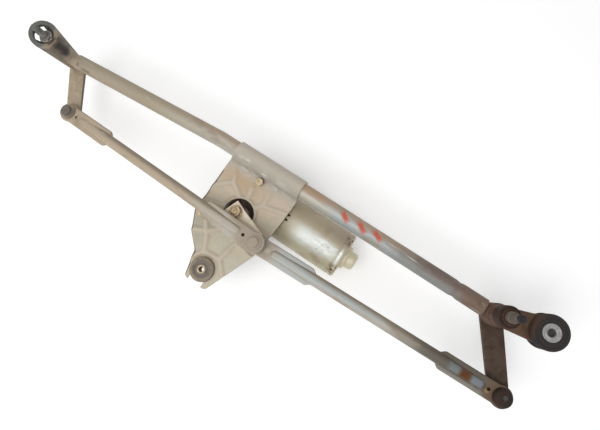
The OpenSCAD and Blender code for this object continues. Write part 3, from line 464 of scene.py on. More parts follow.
            ("#857660", 0.75, 0.1, [patches(5, 0.58, 0.72)]),
            ("#6f6355", 0.7, 0.2, [facing(UP, 0.5, 0.1, 4)]),
            ("#c2b59f", 0.55, 0.3, [edges(2.5, 0.99, 0.9)])], [GRAIN]),
        # Rusted greasy steel strap: dark brown with a rust bloom and thin worn edges.
        "right_lever": ("Rusted steel strap", colours.right_lever, 0.65, 0.1, [
            ("#44352c", 0.6, 0.1, [patches(13, 0.45, 0.62)]),
            ("#5b4a42", 0.7, 0.1, [patches(9, 0.55, 0.7)]),
            (RUST, 0.85, 0.0, [patches(4, 0.64, 0.76)]),
            ("#776a5f", 0.55, 0.3, [edges(2, 0.99, 0.9)])], [(0.2, patches(2.2, 0.35, 0.7)), GRAIN], 0.2),
        # Pressed steel cup with dried grease: tan on its rim, dark grey on its button.
        "left_cup": ("Pressed steel cup", "#978873", 0.65, 0.2, [
            ("#8f816e", 0.7, 0.1, [patches(5, 0.46, 0.62)]),
            ("#605a53", 0.55, 0.3, [along("z", 12.3, 13.3, 3)]),
            ("#a99d8b", 0.5, 0.3, [edges(1.5)]),
            # Soil and painted shade in the hollows
            (SOIL_AND_SHADE, 0.8, 0.0, [corners(2, 0.7, 0.25)])], [GRAIN]),
        # Pressed steel cup, burnt brown by old grease, with a faint grey painted highlight on its crown.
        "right_cup": ("Pressed steel cup, brown", "#33241d", 0.65, 0.0, [
            ("#2a1d18", 0.65, 0.0, [patches(7, 0.5, 0.66)]),
            ("#231d1b", 0.6, 0.0, [along("x", ball_x + 1, ball_x + 7, 4)]),
            # Faint grey painted highlight on the crown
            ("#464542", 0.5, 0.2, [near(RIGHT_BALL + Vector((0.5, 1.5, 11)) * MM, 4, 1)]),
            (RUST, 0.85, 0.0, [patches(3, 0.68, 0.78)])], [GRAIN], 0.2),
        # Faded yellow chromate on zinc: a pale gold film with rubbed edges, and brown soil and painted shade in
        # its corners.
        "yellow_zinc": ("Yellow passivated zinc", colours.yellow_zinc, 0.5, 0.4, [
            ("#ab967b", 0.6, 0.3, [patches(4, 0.46, 0.62)]),
            ("#957d61", 0.6, 0.3, [along("z", 19, 23, 3), patches(4, 0.3, 0.6)]),
            ("#d0c2a6", 0.5, 0.4, [edges(1.5)]),
            # Soil and painted shade in the corners
            ("#6d5a44", 0.7, 0.1, [corners(2, 0.65)])], [GRAIN]),
        # Deep-drawn steel can: a beige and olive patina with a pale grey painted highlight along the top, greyer
        # at the far end on the side towards the tube, a painted shadow of the tube, and draw lines, scratches,
        # pits, and rust at its far end.
        "can": ("Deep-drawn zinc plated steel", colours.can, 0.55, 0.25, [
            ("#b8b296", 0.55, 0.2, [facing((0, -0.95, 0.3), 0.2, 0.75, 16)]),
            ("#ab9c85", 0.6, 0.2, [patches(18, 0.5, 0.66)]),
            # Greyer far end on the side towards the tube: painted shadow of the tube
            ("#ab9e8c", 0.55, 0.25, [along("x", 100, 128, 14), facing((0, 1, 0.2), 0.3, 0.6)]),
            ("#a99e85", 0.6, 0.2, [along("x", 78, 52, 14)]),
            # Pale grey painted highlight along the top, where the can faces the key lamp
            ("#cdd0ca", 0.45, 0.35, [highlight_facing, bright]),
            ("#dee1dc", 0.4, 0.5, [patches(7, 0.54, 0.7, (3, 1, 1)), highlight_facing, bright]),
            ("#6f6a5c", 0.6, 0.3, [patches(2.2, 0.6, 0.7, (2, 1, 1)),
                                   near((0.104, 0.105, 0.0036), 14, 5, 4)]),
            ("#7b7258", 0.7, 0.2, [patches(3, 0.66, 0.76)]),
            ("#d0c8ae", 0.5, 0.25, [along("x", 130, 135, 4)]),
            (RUST, 0.85, 0.0, [near((0.133, 0.087, -0.008), 14, 4, 5), patches(4, 0.44, 0.56)]),
            (RUST, 0.85, 0.0, [near((0.134, 0.128, -0.004), 13, 4, 5), patches(4, 0.46, 0.58)]),
            # Soil and painted shade in the hollows
            ("#4b4335", 0.75, 0.1, [corners()])],
            [(0.06, patches(3, 0.35, 0.7, (1, 3, 3))), GRAIN]),
        # Die-cast gearbox: a pale matt grey with casting grain, and dark grease on the face that shows in the
        # bracket's window.
        "alloy": ("Die-cast gearbox aluminium", colours.alloy, 0.55, 0.5, [
            ("#8e9090", 0.55, 0.5, [patches(11, 0.48, 0.66)]),
            ("#bcbcb8", 0.45, 0.7, [edges(2, 0.99, 0.9)]),
            ("#6a625a", 0.75, 0.1, [patches(7, 0.58, 0.72)]),
            # Soil and painted shade in the hollows
            (SOIL_AND_SHADE, 0.85, 0.0, [corners(4)]),
            ("#4a2a15", 0.8, 0.0, [box((SHAFT.x, SHAFT.y, 0), (24, 24), 0, 5, 1.05, 0.95),
                                   along("z", -16, -12, 2), facing(UP, 0.2, 0.6, 3)]),
            ("#5d4027", 0.7, 0.0, [near((SHAFT.x, SHAFT.y, 5 * MM), 26, 20, 4), patches(5, 0.52, 0.62)])],
            [(0.2, patches(4, 0.3, 0.75)), GRAIN], 0.3),
        # Sintered bronze: warm and dull, with fine pores that hold oil.
        "bronze": ("Sintered bronze", "#a0783f", 0.4, 0.85, [
            ("#6d4d26", 0.55, 0.6, [patches(1.2, 0.5, 0.68)])], [GRAIN]),
        # Enamelled copper wire: warm and glossy, its turns drawn as bands coarser than real wire.
        "copper": ("Enamelled copper", "#a5602c", 0.35, 0.7, [
            ("#6d3a18", 0.5, 0.5, [patches(1.4, 0.45, 0.65, (6, 1, 1))])],
            [(0.25, patches(1.4, 0.35, 0.7, (6, 1, 1)))]),
        # Moulded glass-filled nylon: dark grey, with flow marks and a fine matt grain.
        "black_plastic": ("Moulded nylon", "#2b2b2d", 0.5, 0.0, [
            ("#3f3f40", 0.6, 0.0, [patches(9, 0.5, 0.7, (1, 3, 1))]),
            ("#5c5853", 0.7, 0.0, [edges(2, 0.99, 0.9)])], [GRAIN]),
        # Acetal gear: waxy cream with a little grease.
        "cream_plastic": ("Moulded acetal", "#ddd6bf", 0.4, 0.0, [
            ("#b9a77c", 0.3, 0.0, [patches(6, 0.55, 0.7)])], [GRAIN]),
        # Sintered ferrite and carbon: charcoal grey and matt, with a granular break.
        "ferrite": ("Sintered ferrite", "#3b3b3e", 0.7, 0.1, [
            ("#55565a", 0.6, 0.2, [patches(2.5, 0.5, 0.68)])], [GRAIN]),
        # Stacked electrical steel: blue-grey sheets whose edges show as lines, drawn coarser than real 0.5 mm
        # sheets.
        "lamination": ("Laminated electrical steel", "#6f757d", 0.42, 0.8, [
            ("#4b5058", 0.5, 0.6, [patches(1.2, 0.45, 0.6, (1, 30, 30))])],
            [(0.1, patches(1.2, 0.4, 0.6, (1, 30, 30)))]),
    }


# The materials made so far
MADE = {}


def finish(name):
    """One of the materials above, made the first time that it is asked for."""
    if name not in MADE:
        MADE[name] = surface(*finishes(bpy.context.scene.wiper_colours)[name])
    return MADE[name]


# Meshes

def rounded(outline, steps=5):
    """The closed outline with an arc at each corner that gives a radius as its third number."""
    points, count = [], len(outline)
    for i, corner in enumerate(outline):
        here = np.array(corner[:2], float)
        if len(corner) < 3:
            points.append(here)
            continue
        before = np.array(outline[i - 1][:2], float) - here
        after = np.array(outline[(i + 1) % count][:2], float) - here
        reach_before, reach_after = np.linalg.norm(before), np.linalg.norm(after)
        before, after = before / reach_before, after / reach_after
        half = math.acos(np.clip(before @ after, -1, 1)) / 2
        most = 0.49 * min(reach_before, reach_after)
        reach = min(corner[2] / math.tan(half), most)
        radius = reach * math.tan(half)
        inward = before + after
        centre = here + inward / np.linalg.norm(inward) * radius / math.sin(half)
        start, end = here + before * reach - centre, here + after * reach - centre
        first = math.atan2(start[1], start[0])
        turn = (math.atan2(end[1], end[0]) - first + math.pi) % (2 * math.pi) - math.pi
        for k in range(steps + 1):
            angle = first + turn * k / steps
            points.append(centre + radius * np.array([math.cos(angle), math.sin(angle)]))
    return np.array(points)


def smooth(value):
    """A soft step from 0 to 1 over values from 0 to 1."""
    value = np.clip(value, 0, 1)
    return value * value * (3 - 2 * value)


def mesh_of(points, faces):
    """A mesh of these faces, its doubles merged and its normals outward."""
    mesh = bpy.data.meshes.new("shape")
    mesh.from_pydata([tuple(point) for point in points], [], faces)
    shape = bmesh.new()
    shape.from_mesh(mesh)
    bmesh.ops.remove_doubles(shape, verts=shape.verts, dist=1e-6)
    bmesh.ops.recalc_face_normals(shape, faces=shape.faces)
    shape.to_mesh(mesh)
    shape.free()
    return mesh


def loft(rings, loop=False):
    """A skin over equal rings of points. A loop joins the last ring to the first; else both ends close."""
    rows, count = len(rings), len(rings[0])
    faces = []
    for row in range(rows if loop else rows - 1):
        here, there = row * count, (row + 1) % rows * count
        for k in range(count):
            follow = (k + 1) % count
            faces.append((here + k, here + follow, there + follow, there + k))
    if not loop:
        faces += [tuple(range(count))[::-1], tuple(range((rows - 1) * count, rows * count))]
    return mesh_of(np.concatenate(rings), faces)


def circle(steps):
    """Angles in equal steps, and their points on a circle of radius 1 about the Z axis."""
    angles = np.arange(steps) * 2 * math.pi / steps
    return angles, np.stack([np.cos(angles), np.sin(angles), np.zeros(steps)], 1)


def on_circle(radius, turns, height=0.0):
    """Points on a circle about the Z axis."""
    return [(radius * math.cos(turn), radius * math.sin(turn), height) for turn in turns]


def lathe(profile, centre, axis=UP, steps=72):
    """A closed profile of (radius, height) in millimetres, turned about an axis through a point in metres."""
    turn = np.array(Vector(UP).rotation_difference(Vector(axis)).to_matrix())
    around = circle(steps)[1]
    rings = [(radius * around + [0, 0, height]) @ turn.T * MM for radius, height in profile]
    return loft([np.array(centre) + ring for ring in rings], loop=True)


def modified(mesh, *steps):
    """The mesh after modifiers, each given as (kind, settings)."""
    holder = bpy.data.objects.new("holder", mesh)
    bpy.context.scene.collection.objects.link(holder)
    for kind, settings in steps:
        modifier = holder.modifiers.new(kind, kind)
        for key, value in settings.items():
            setattr(modifier, key, value)
    depsgraph = bpy.context.evaluated_depsgraph_get()
    result = bpy.data.meshes.new_from_object(holder.evaluated_get(depsgraph))
    bpy.data.objects.remove(holder)
    return result


def eased(width, angle=35):
    """A modifier step that rounds the edges by a width in millimetres."""
    return ("BEVEL", {"width": width * MM, "segments": 2, "limit_method": "ANGLE",
                      "angle_limit": math.radians(angle)})


def merged_copy(solid):
    """A copy of a solid's mesh with its doubles merged and its flat faces joined."""
    mesh = frame["nodes"][solid].data.copy()
    shape = bmesh.new()
    shape.from_mesh(mesh)
    bmesh.ops.remove_doubles(shape, verts=shape.verts, dist=1e-6)
    bmesh.ops.dissolve_limit(shape, angle_limit=math.radians(0.2), verts=shape.verts, edges=shape.edges)
    shape.to_mesh(mesh)
    shape.free()
    if mesh.has_custom_normals:
        mesh.normals_split_custom_set([(0, 0, 0)] * len(mesh.loops))
    return mesh


def cast_copy(solid, *more, voxel, passes):
    """A solid, and more meshes that join it, as cast metal: edges and inner corners flow into each other over
    a few voxels."""
    mesh = joined(merged_copy(solid), *more)
    return modified(mesh, ("REMESH", {"mode": "VOXEL", "voxel_size": voxel * MM}),
                    ("SMOOTH", {"factor": 0.5, "iterations": passes}))


def cut(mesh, cutter):
    """The mesh without the cutter's volume."""
    tool = bpy.data.objects.new("cutter", cutter)
    bpy.context.scene.collection.objects.link(tool)
    result = modified(mesh, ("BOOLEAN", {"object": tool, "operation": "DIFFERENCE", "solver": "EXACT"}))
    bpy.data.objects.remove(tool)
    return result


def joined(*meshes):
    """One mesh of several."""
    shape = bmesh.new()
    for mesh in meshes:
        shape.from_mesh(mesh)
    result = bpy.data.meshes.new("joined")
    shape.to_mesh(result)
    shape.free()
    return result


def piece(name, mesh, material, *solids, crease=35):
    """A finished piece that stands for these solids and rides on their body."""
    mesh.name = name
    mesh.materials.clear()
    mesh.materials.append(finish(material))
    mesh.shade_smooth()
    mesh.set_sharp_from_angle(angle=math.radians(crease))
    made = bpy.data.objects.new(name, mesh)
    bpy.context.scene.collection.objects.link(made)
    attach(made, BODY[solids[0]])
    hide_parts(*solids)


def plain(material, *solids):
    """Gives solids that stay as they are a material."""
    for solid in solids:
        for slot in frame["nodes"][solid].material_slots:
            slot.material = finish(material)


def eased_piece(solid, material, width):
    """A solid that keeps its shape and gets rounded edges."""
    piece(solid + "_finished", modified(merged_copy(solid), eased(width)), material, solid)


def copies_at_points():
    """A node tree that sets a copy of an object on each point, turned to face away from the Z axis."""
    tree = bpy.data.node_groups.new("Copies at points", "GeometryNodeTree")
    sockets = [("Points", "INPUT", "NodeSocketGeometry"), ("Copy", "INPUT", "NodeSocketObject"),
               ("Size", "INPUT", "NodeSocketFloat"), ("Finish", "INPUT", "NodeSocketMaterial"),
               ("Copies", "OUTPUT", "NodeSocketGeometry")]
    for name, way, kind in sockets:
        tree.interface.new_socket(name=name, in_out=way, socket_type=kind)
    given = node(tree, "NodeGroupInput").outputs
    place = node(tree, "ShaderNodeSeparateXYZ", {}, {0: node(tree, "GeometryNodeInputPosition")}).outputs
    angle = node(tree, "ShaderNodeMath", {"operation": "ARCTAN2"}, {0: place["Y"], 1: place["X"]})
    turn = node(tree, "ShaderNodeCombineXYZ", {}, {"Z": angle})
    shape = node(tree, "GeometryNodeObjectInfo", {}, {"Object": given["Copy"]}).outputs["Geometry"]
    placed = node(tree, "GeometryNodeInstanceOnPoints", {}, {
        "Points": given["Points"], "Instance": shape, "Rotation": turn, "Scale": given["Size"]})
    real = node(tree, "GeometryNodeRealizeInstances", {}, {0: placed})
    done = node(tree, "GeometryNodeSetMaterial", {}, {"Geometry": real, "Material": given["Finish"]})
    node(tree, "NodeGroupOutput", {}, {"Copies": done})
    return tree


def copies(mesh, points, material, centre, axis=UP, size=1.0):
    """Copies of a mesh at points in millimetres about an axis through a point in metres, as one mesh."""
    tree = bpy.data.node_groups.get("Copies at points") or copies_at_points()
    source = bpy.data.objects.new("copy", mesh)
    spots = bpy.data.meshes.new("points")
    spots.from_pydata([tuple(c * MM for c in point) for point in points], [], [])
    holder = bpy.data.objects.new("copies", spots)
    for made in (source, holder):
        bpy.context.scene.collection.objects.link(made)
    modifier = holder.modifiers.new("Copies", "NODES")
    modifier.node_group = tree
    values = {"Copy": source, "Size": size, "Finish": finish(material)}
    for item in tree.interface.items_tree:
        if item.in_out == "INPUT" and item.name in values:
            modifier[item.identifier] = values[item.name]
    depsgraph = bpy.context.evaluated_depsgraph_get()
    result = bpy.data.meshes.new_from_object(holder.evaluated_get(depsgraph))
    for made in (holder, source):
        bpy.data.objects.remove(made)
    turn = Vector(UP).rotation_difference(Vector(axis)).to_matrix().to_4x4()
    result.transform(Matrix.Translation(centre) @ turn)
    return result


def heights(solid):
    """Lowest and highest level of a solid, in millimetres."""
    return [corner.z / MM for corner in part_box(solid)]


def ball_centre(solid, radius=5.0):
    """Centre of the ball at the top of a stud."""
    low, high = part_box(solid)
    return Vector(((low.x + high.x) / 2, (low.y + high.y) / 2, high.z - radius * MM))


LEFT_BALL = ball_centre("left_ball_stud")
RIGHT_BALL = ball_centre("right_ball_stud")


# Frame tube

def tube_path(bend):
    """Points along the tube axis from left to right, about 1.5 mm apart."""
    left, bend_r, step = JOINT["left_spindle_swing"], 60 * MM, 1.5 * MM
    low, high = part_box("frame_tube")
    end_gap = (low.x + (high.z - TUBE.z) * math.sin(bend) - left.x) / math.cos(bend)
    corner = Vector((left.x + (TUBE.y - left.y) / math.tan(bend), TUBE.y, TUBE.z))
    away = (left - corner).normalized()
    reach = bend_r * math.tan(bend / 2)
    stops = [left - away * end_gap, corner + away * reach]
    count = round((stops[1] - stops[0]).length / step)
    points = [stops[0].lerp(stops[1], i / count) for i in range(count)]
    pivot = corner + Vector((reach, -bend_r, 0))
    arc_steps = 6
    points += [pivot + bend_r * Vector((-math.sin(a), math.cos(a), 0))
               for a in (bend * (1 - i / arc_steps) for i in range(arc_steps + 1))]
    count = round((high.x - points[-1].x) / step)
    start = points[-1]
    points += [start.lerp(Vector((high.x, TUBE.y, TUBE.z)), i / count) for i in range(1, count + 1)]
    return points


def build_tube(sizes):
    radius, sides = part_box("frame_tube")[1].z - TUBE.z, 56
    # The shallow groove rolled round the tube near the right housing
    groove_x, groove_depth, groove_width = 259.0, 0.9, 3.2
    points = tube_path(sizes.tube_bend)
    around = np.linspace(0, 2 * math.pi, sides, endpoint=False)
    outer = []
    for i, point in enumerate(points):
        ahead = (points[min(i + 1, len(points) - 1)] - points[max(i - 1, 0)]).normalized()
        side = np.array(Vector(UP).cross(ahead))
        out = np.outer(np.cos(around), side) + np.outer(np.sin(around), UP)
        groove = groove_depth * math.exp(-((point.x / MM - groove_x) / groove_width) ** 2)
        ring = np.array(point) + out * (radius - groove * MM)
        for spot, half, depth, width in DENTS:
            away = ring / MM - np.array(spot)
            away[:, 0] = np.maximum(np.abs(away[:, 0]) - half, 0)
            fall = np.exp(-(np.linalg.norm(away, axis=1) / width) ** 2)
            ring = ring - out * (depth * fall * MM)[:, None]
        outer.append(ring)
    kept = 1 - sizes.tube_wall / radius
    inner = [np.array(point) + (ring - np.array(point)) * kept for point, ring in zip(points, outer)]
    piece("frame_tube_finished", loft(outer + inner[::-1], loop=True), "tube", "frame_tube")


# Stamped bracket

# Middles of the flat cells between the pressed ridges, in millimetres of the part's frame
CELLS = np.array([(-47, 108), (-35, 94), (-18, 120), (5, 123), (28, 124), (36, 92), (35, 62), (-1, 72),
                  (-25, 60), (-42, 46), (-31, 24), (-4, 38), (30, 31), (1, 2)], float)


def signed_distance(points, outline):
    """Distance of points from a closed outline, negative inside."""
    best, inside = np.full(len(points), 1e9), np.zeros(len(points), bool)
    for start, end in zip(outline, np.roll(outline, -1, axis=0)):
        edge, reach = end - start, points - start
        share = np.clip(reach @ edge / (edge @ edge), 0, 1)
        best = np.minimum(best, np.linalg.norm(reach - share[:, None] * edge, axis=1))
        level = (start[1] > points[:, 1]) != (end[1] > points[:, 1])
        rise = edge[1] if edge[1] else 1e-12
        inside ^= level & (points[:, 0] < start[0] + edge[0] * (points[:, 1] - start[1]) / rise)
    return np.where(inside, -best, best)


def pressed_sheet(distance, low, high, cell, place):
    """A sheet cut from a grid where the distance is negative, its cut edge snapped to distance zero.
    place(points, side) gives the points of the upper side, 0, or the lower side, 1, in metres."""
    xs, ys = (np.arange(low[i], high[i] + cell, cell) for i in (0, 1))
    grid = np.stack(np.meshgrid(xs, ys, indexing="ij"), -1)
    middles = (grid[:-1, :-1] + grid[1:, 1:]) / 2
    kept = distance(middles.reshape(-1, 2)).reshape(middles.shape[:2]) < 0
    index = np.arange(grid.shape[0] * grid.shape[1]).reshape(grid.shape[:2])
    cells = []
    for i, j in zip(*np.nonzero(kept)):
        cells.append((index[i, j], index[i + 1, j], index[i + 1, j + 1], index[i, j + 1]))
    border = {}
    for quad in cells:
        for a, b in zip(quad, quad[1:] + quad[:1]):
            if (b, a) in border:
                del border[(b, a)]
            else:
                border[(a, b)] = True
    points = grid.reshape(-1, 2).copy()
    rim = np.array(sorted({a for edge in border for a in edge}))
    passes, nudge, least_slope = 4, 0.05, 0.25
    for _ in range(passes):
        here = distance(points[rim])
        beside = [distance(points[rim] + step) for step in ((nudge, 0), (0, nudge))]
        slope = np.stack([(there - here) / nudge for there in beside], 1)
        points[rim] -= slope * (here / np.maximum((slope ** 2).sum(1), least_slope))[:, None]
    count = len(points)
    faces = cells + [tuple(i + count for i in reversed(quad)) for quad in cells]
    faces += [(b, a, a + count, b + count) for a, b in border]
    used = sorted({i for face in faces for i in face})
    order = {old: new for new, old in enumerate(used)}
    placed = np.concatenate([place(points, 0), place(points, 1)])[used]
    return mesh_of(placed, [tuple(order[i] for i in face) for face in faces])


def cell_edge_distance(points):
    """Distance from points to the nearest edge between two cells of the bracket."""
    squared = ((points[:, None] - CELLS[None]) ** 2).sum(-1)
    nearest = squared.argmin(1)
    own = squared[np.arange(len(points)), nearest]
    between = np.linalg.norm(CELLS[nearest][:, None] - CELLS[None], axis=-1)
    ahead = (squared - own[:, None]) / (2 * np.maximum(between, 1e-6))
    ahead[np.arange(len(points)), nearest] = np.inf
    return ahead.min(1)


def build_bracket(sizes):
    low, high = (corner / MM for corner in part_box("motor_bracket"))
    tube, shaft, foot = TUBE / MM, SHAFT / MM, MOUNT["bracket_mount"] / MM
    sheet, ridge_half = sizes.sheet / MM, sizes.ridge_width / MM / 2
    # Radii of the wrap over the tube and of the fillet up to it, and how far down behind the tube it goes
    wrap_r, fillet, wrap_drop = 12.5, 6.0, 3.0
    # Radii of the window, of the slot for the grommet, and of the flat seats of the screws and the grommet,
    # and the width over which the ridges rise from a seat
    window_r, slot_r, screw_seat, foot_seat, seat_blend = 19.5, 10.0, 6.5, 15.5, 4.0
    # Height of the rim round the window, the distance of its crest from the window, and its half width
    rim_rise, rim_at, rim_half = 1.7, 1.6, 3.4
    # Depth and width of the left edge, which is rolled down, where that starts, and the length it starts over
    roll, roll_width, roll_x, roll_blend = 1.6, 3.0, -8.0, 6.0
    # How far the ridges run on past the flat plate, and the length they fade over
    ridge_past, ridge_fade = 3.0, 9.0
    # The left edges of the plate and of the wrap, and the grid that the blank is cut from: cells and margins
    left_edge, wrap_left = -52.0, -46.0
    cell, left_margin, margin = 1.1, 3.0, 1.0
    flat_end = tube.y - wrap_r - fillet
    fillet_len = fillet * math.pi / 2
    wrap_turn = math.pi + math.asin(wrap_drop / wrap_r)
    top = flat_end + fillet_len + wrap_r * wrap_turn
    outline = rounded([
        (high.x, top, 1.5), (high.x, 113, 12), (47, 78, 20), (43, 48, 12), (16, low.y, 5), (-15, low.y, 5),
        (-23, 14, 10), (-40, 30, 10), (-54, 57, 8), (left_edge, 71, 14), (left_edge, flat_end, 4),
        (wrap_left, flat_end + 20, 6), (wrap_left, top, 1.5)])
    seats = [(shaft.xy + SCREW_CIRCLE * Vector((math.cos(a), math.sin(a))), screw_seat) for a in SCREW_TURNS]
    seats.append((foot.xy, foot_seat))

    def distance(points):
        """Distance from the sheet's cut edges on the flat blank, negative on the sheet."""
        cut = signed_distance(points, outline)
        window = window_r - np.linalg.norm(points - np.array(shaft.xy), axis=1)
        slot = slot_r - np.linalg.norm(points - np.array(foot.xy), axis=1)
        mouth = np.minimum(slot_r - np.abs(points[:, 0] - foot.x), foot.y - points[:, 1])
        return np.maximum(np.maximum(cut, window), np.maximum(slot, mouth))

    def relief(points):
        """Height of the ridges and the rim over the sheet, less the depth of the rolled edge."""
        ridge = sizes.ridge_height / MM * smooth(1 - cell_edge_distance(points) / ridge_half)
        for seat, reach in seats:
            ridge *= smooth((np.linalg.norm(points - np.array(seat), axis=1) - reach) / seat_blend)
        ridge *= smooth((flat_end + ridge_past - points[:, 1]) / ridge_fade)
        from_shaft = np.linalg.norm(points - np.array(shaft.xy), axis=1)
        rim = rim_rise * smooth(1 - np.abs(from_shaft - window_r - rim_at) / rim_half)
        inward = -signed_distance(points, outline)
        rolled = roll * smooth(1 - inward / roll_width) ** 2 * smooth((roll_x - points[:, 0]) / roll_blend)
        return np.maximum(ridge, rim) - rolled * smooth((flat_end + roll_blend - points[:, 1]) / roll_blend)

    def place(points, side):
        """Points of the flat blank, bent up the fillet and round the tube."""
        lift = relief(points) - side * sheet
        x, s = points[:, 0], points[:, 1]
        bend = np.clip((s - flat_end) / fillet, 0, math.pi / 2)
        wrap = np.clip((s - flat_end - fillet_len) / wrap_r, 0, wrap_turn)
        y = np.where(s < flat_end, s, flat_end + np.sin(bend) * (fillet - lift))
        z = np.where(s < flat_end, PLATE_TOP + lift, PLATE_TOP + fillet - np.cos(bend) * (fillet - lift))
        over = s > flat_end + fillet_len
        y = np.where(over, tube.y - np.cos(wrap) * (wrap_r + lift), y)
        z = np.where(over, tube.z + np.sin(wrap) * (wrap_r + lift), z)
        return np.stack([x, y, z], 1) * MM

    start, end = (low.x - left_margin, low.y - margin), (high.x + margin, top + margin)
    mesh = pressed_sheet(distance, start, end, cell, place)
    piece("motor_bracket_finished", modified(mesh, eased(0.5, angle=55)), "bracket", "motor_bracket")


# Pivot housings and mounts

def build_housings(sizes):
    # Webs that fill out the two side ribs of the left tower, from one distance beside the spindle to another.
    # Their section gives the distance from the spindle and the height above the tube's axis.
    section = np.array([(8.2, -6), (9.8, -6), (13.0, 49), (13.0, 55), (10.2, 55), (8.6, 50)])
    web_from, web_to = 3.0, 9.0
    centre = np.array(JOINT["left_spindle_swing"])
    webs = []
    for quarter, toward in ((1, 1), (3, -1)):
        angle = sizes.tube_bend + quarter * math.pi / 2
        out = np.array([math.cos(angle), math.sin(angle), 0])
        aside = np.array([-math.sin(angle), math.cos(angle), 0]) * toward
        flat = section[:, :1] * out + section[:, 1:] * np.array(UP)
        webs.append(loft([centre + (flat + offset * aside) * MM for offset in (web_from, web_to)]))
    tower = cast_copy("left_pivot_housing", *webs, voxel=0.55, passes=6)
    piece("left_tower", tower, "casting", "left_pivot_housing", crease=60)
    housing = cast_copy("right_pivot_housing", voxel=0.6, passes=6)
    piece("right_housing", housing, "dark_casting", "right_pivot_housing", crease=60)


def build_mounts():
    foot, right = MOUNT["bracket_mount"], MOUNT["right_mount"].copy()
    right.z = 0
    # Half sections: radius and height, and the radius of each corner that is rounded
    turned = {
        "right_grommet": ("rubber", right, [
            (5.85, 10), (19.5, 10, 2), (19.5, 15.95, 0.8), (13.5, 15.95), (13.5, 26.05), (19.5, 26.05, 0.8),
            (19.5, 34, 2.2), (16.4, 34, 0.5), (15.8, 33.2, 0.5), (14.4, 33.2, 0.5), (13.8, 34, 0.5),
            (5.85, 34)]),
        "right_sleeve": ("bright_zinc", right, [
            (4.25, 10), (5.8, 10, 0.3), (5.8, 34.05), (9.8, 34.05, 0.2), (9.8, 35.5, 0.5), (8.4, 35.5, 0.3),
            (8.0, 34.9, 0.3), (6.9, 34.9, 0.3), (6.5, 35.5, 0.3), (5.4, 35.5, 0.4), (4.25, 34.4, 0.3)]),
        "bracket_grommet": ("dusty_rubber", foot, [
            (5.25, 0.5), (15.5, 0.5, 1.5), (15.5, 5.45, 0.6), (9.95, 5.45), (9.95, 8.05), (15.5, 8.05, 0.6),
            (15.5, 11.5, 1.8), (12.2, 13, 1.2), (9.4, 13, 0.5), (8.8, 12.2, 0.5), (7.4, 12.2, 0.5),
            (6.8, 13, 0.5), (5.25, 13)]),
        "bracket_sleeve": ("yellow_zinc", foot, [
            (3.25, 0, 0.4), (5.2, 0, 0.4), (5.2, 13.5, 0.5), (3.25, 13.5, 0.6)]),
    }
    for solid, (material, centre, profile) in turned.items():
        piece(solid + "_finished", lathe(rounded(profile), centre), material, solid)


# Motor and gearbox

def hexagon(across_corners, low, high, chamfer):
    """Rings of a hexagon nut body with a turned chamfer on its upper corners. Sizes in millimetres."""
    steps, chamfer_r = 48, 0.445 * across_corners
    angles, around = circle(steps)
    from_flat = (angles + math.pi / 6) % (math.pi / 3) - math.pi / 6
    flat = across_corners / 2 * math.cos(math.pi / 6) / np.cos(from_flat)
    levels = [(flat, low), (flat, high - chamfer), (np.minimum(flat, chamfer_r), high)]
    return [(around * radius[:, None] + [0, 0, height]) * MM for radius, height in levels]


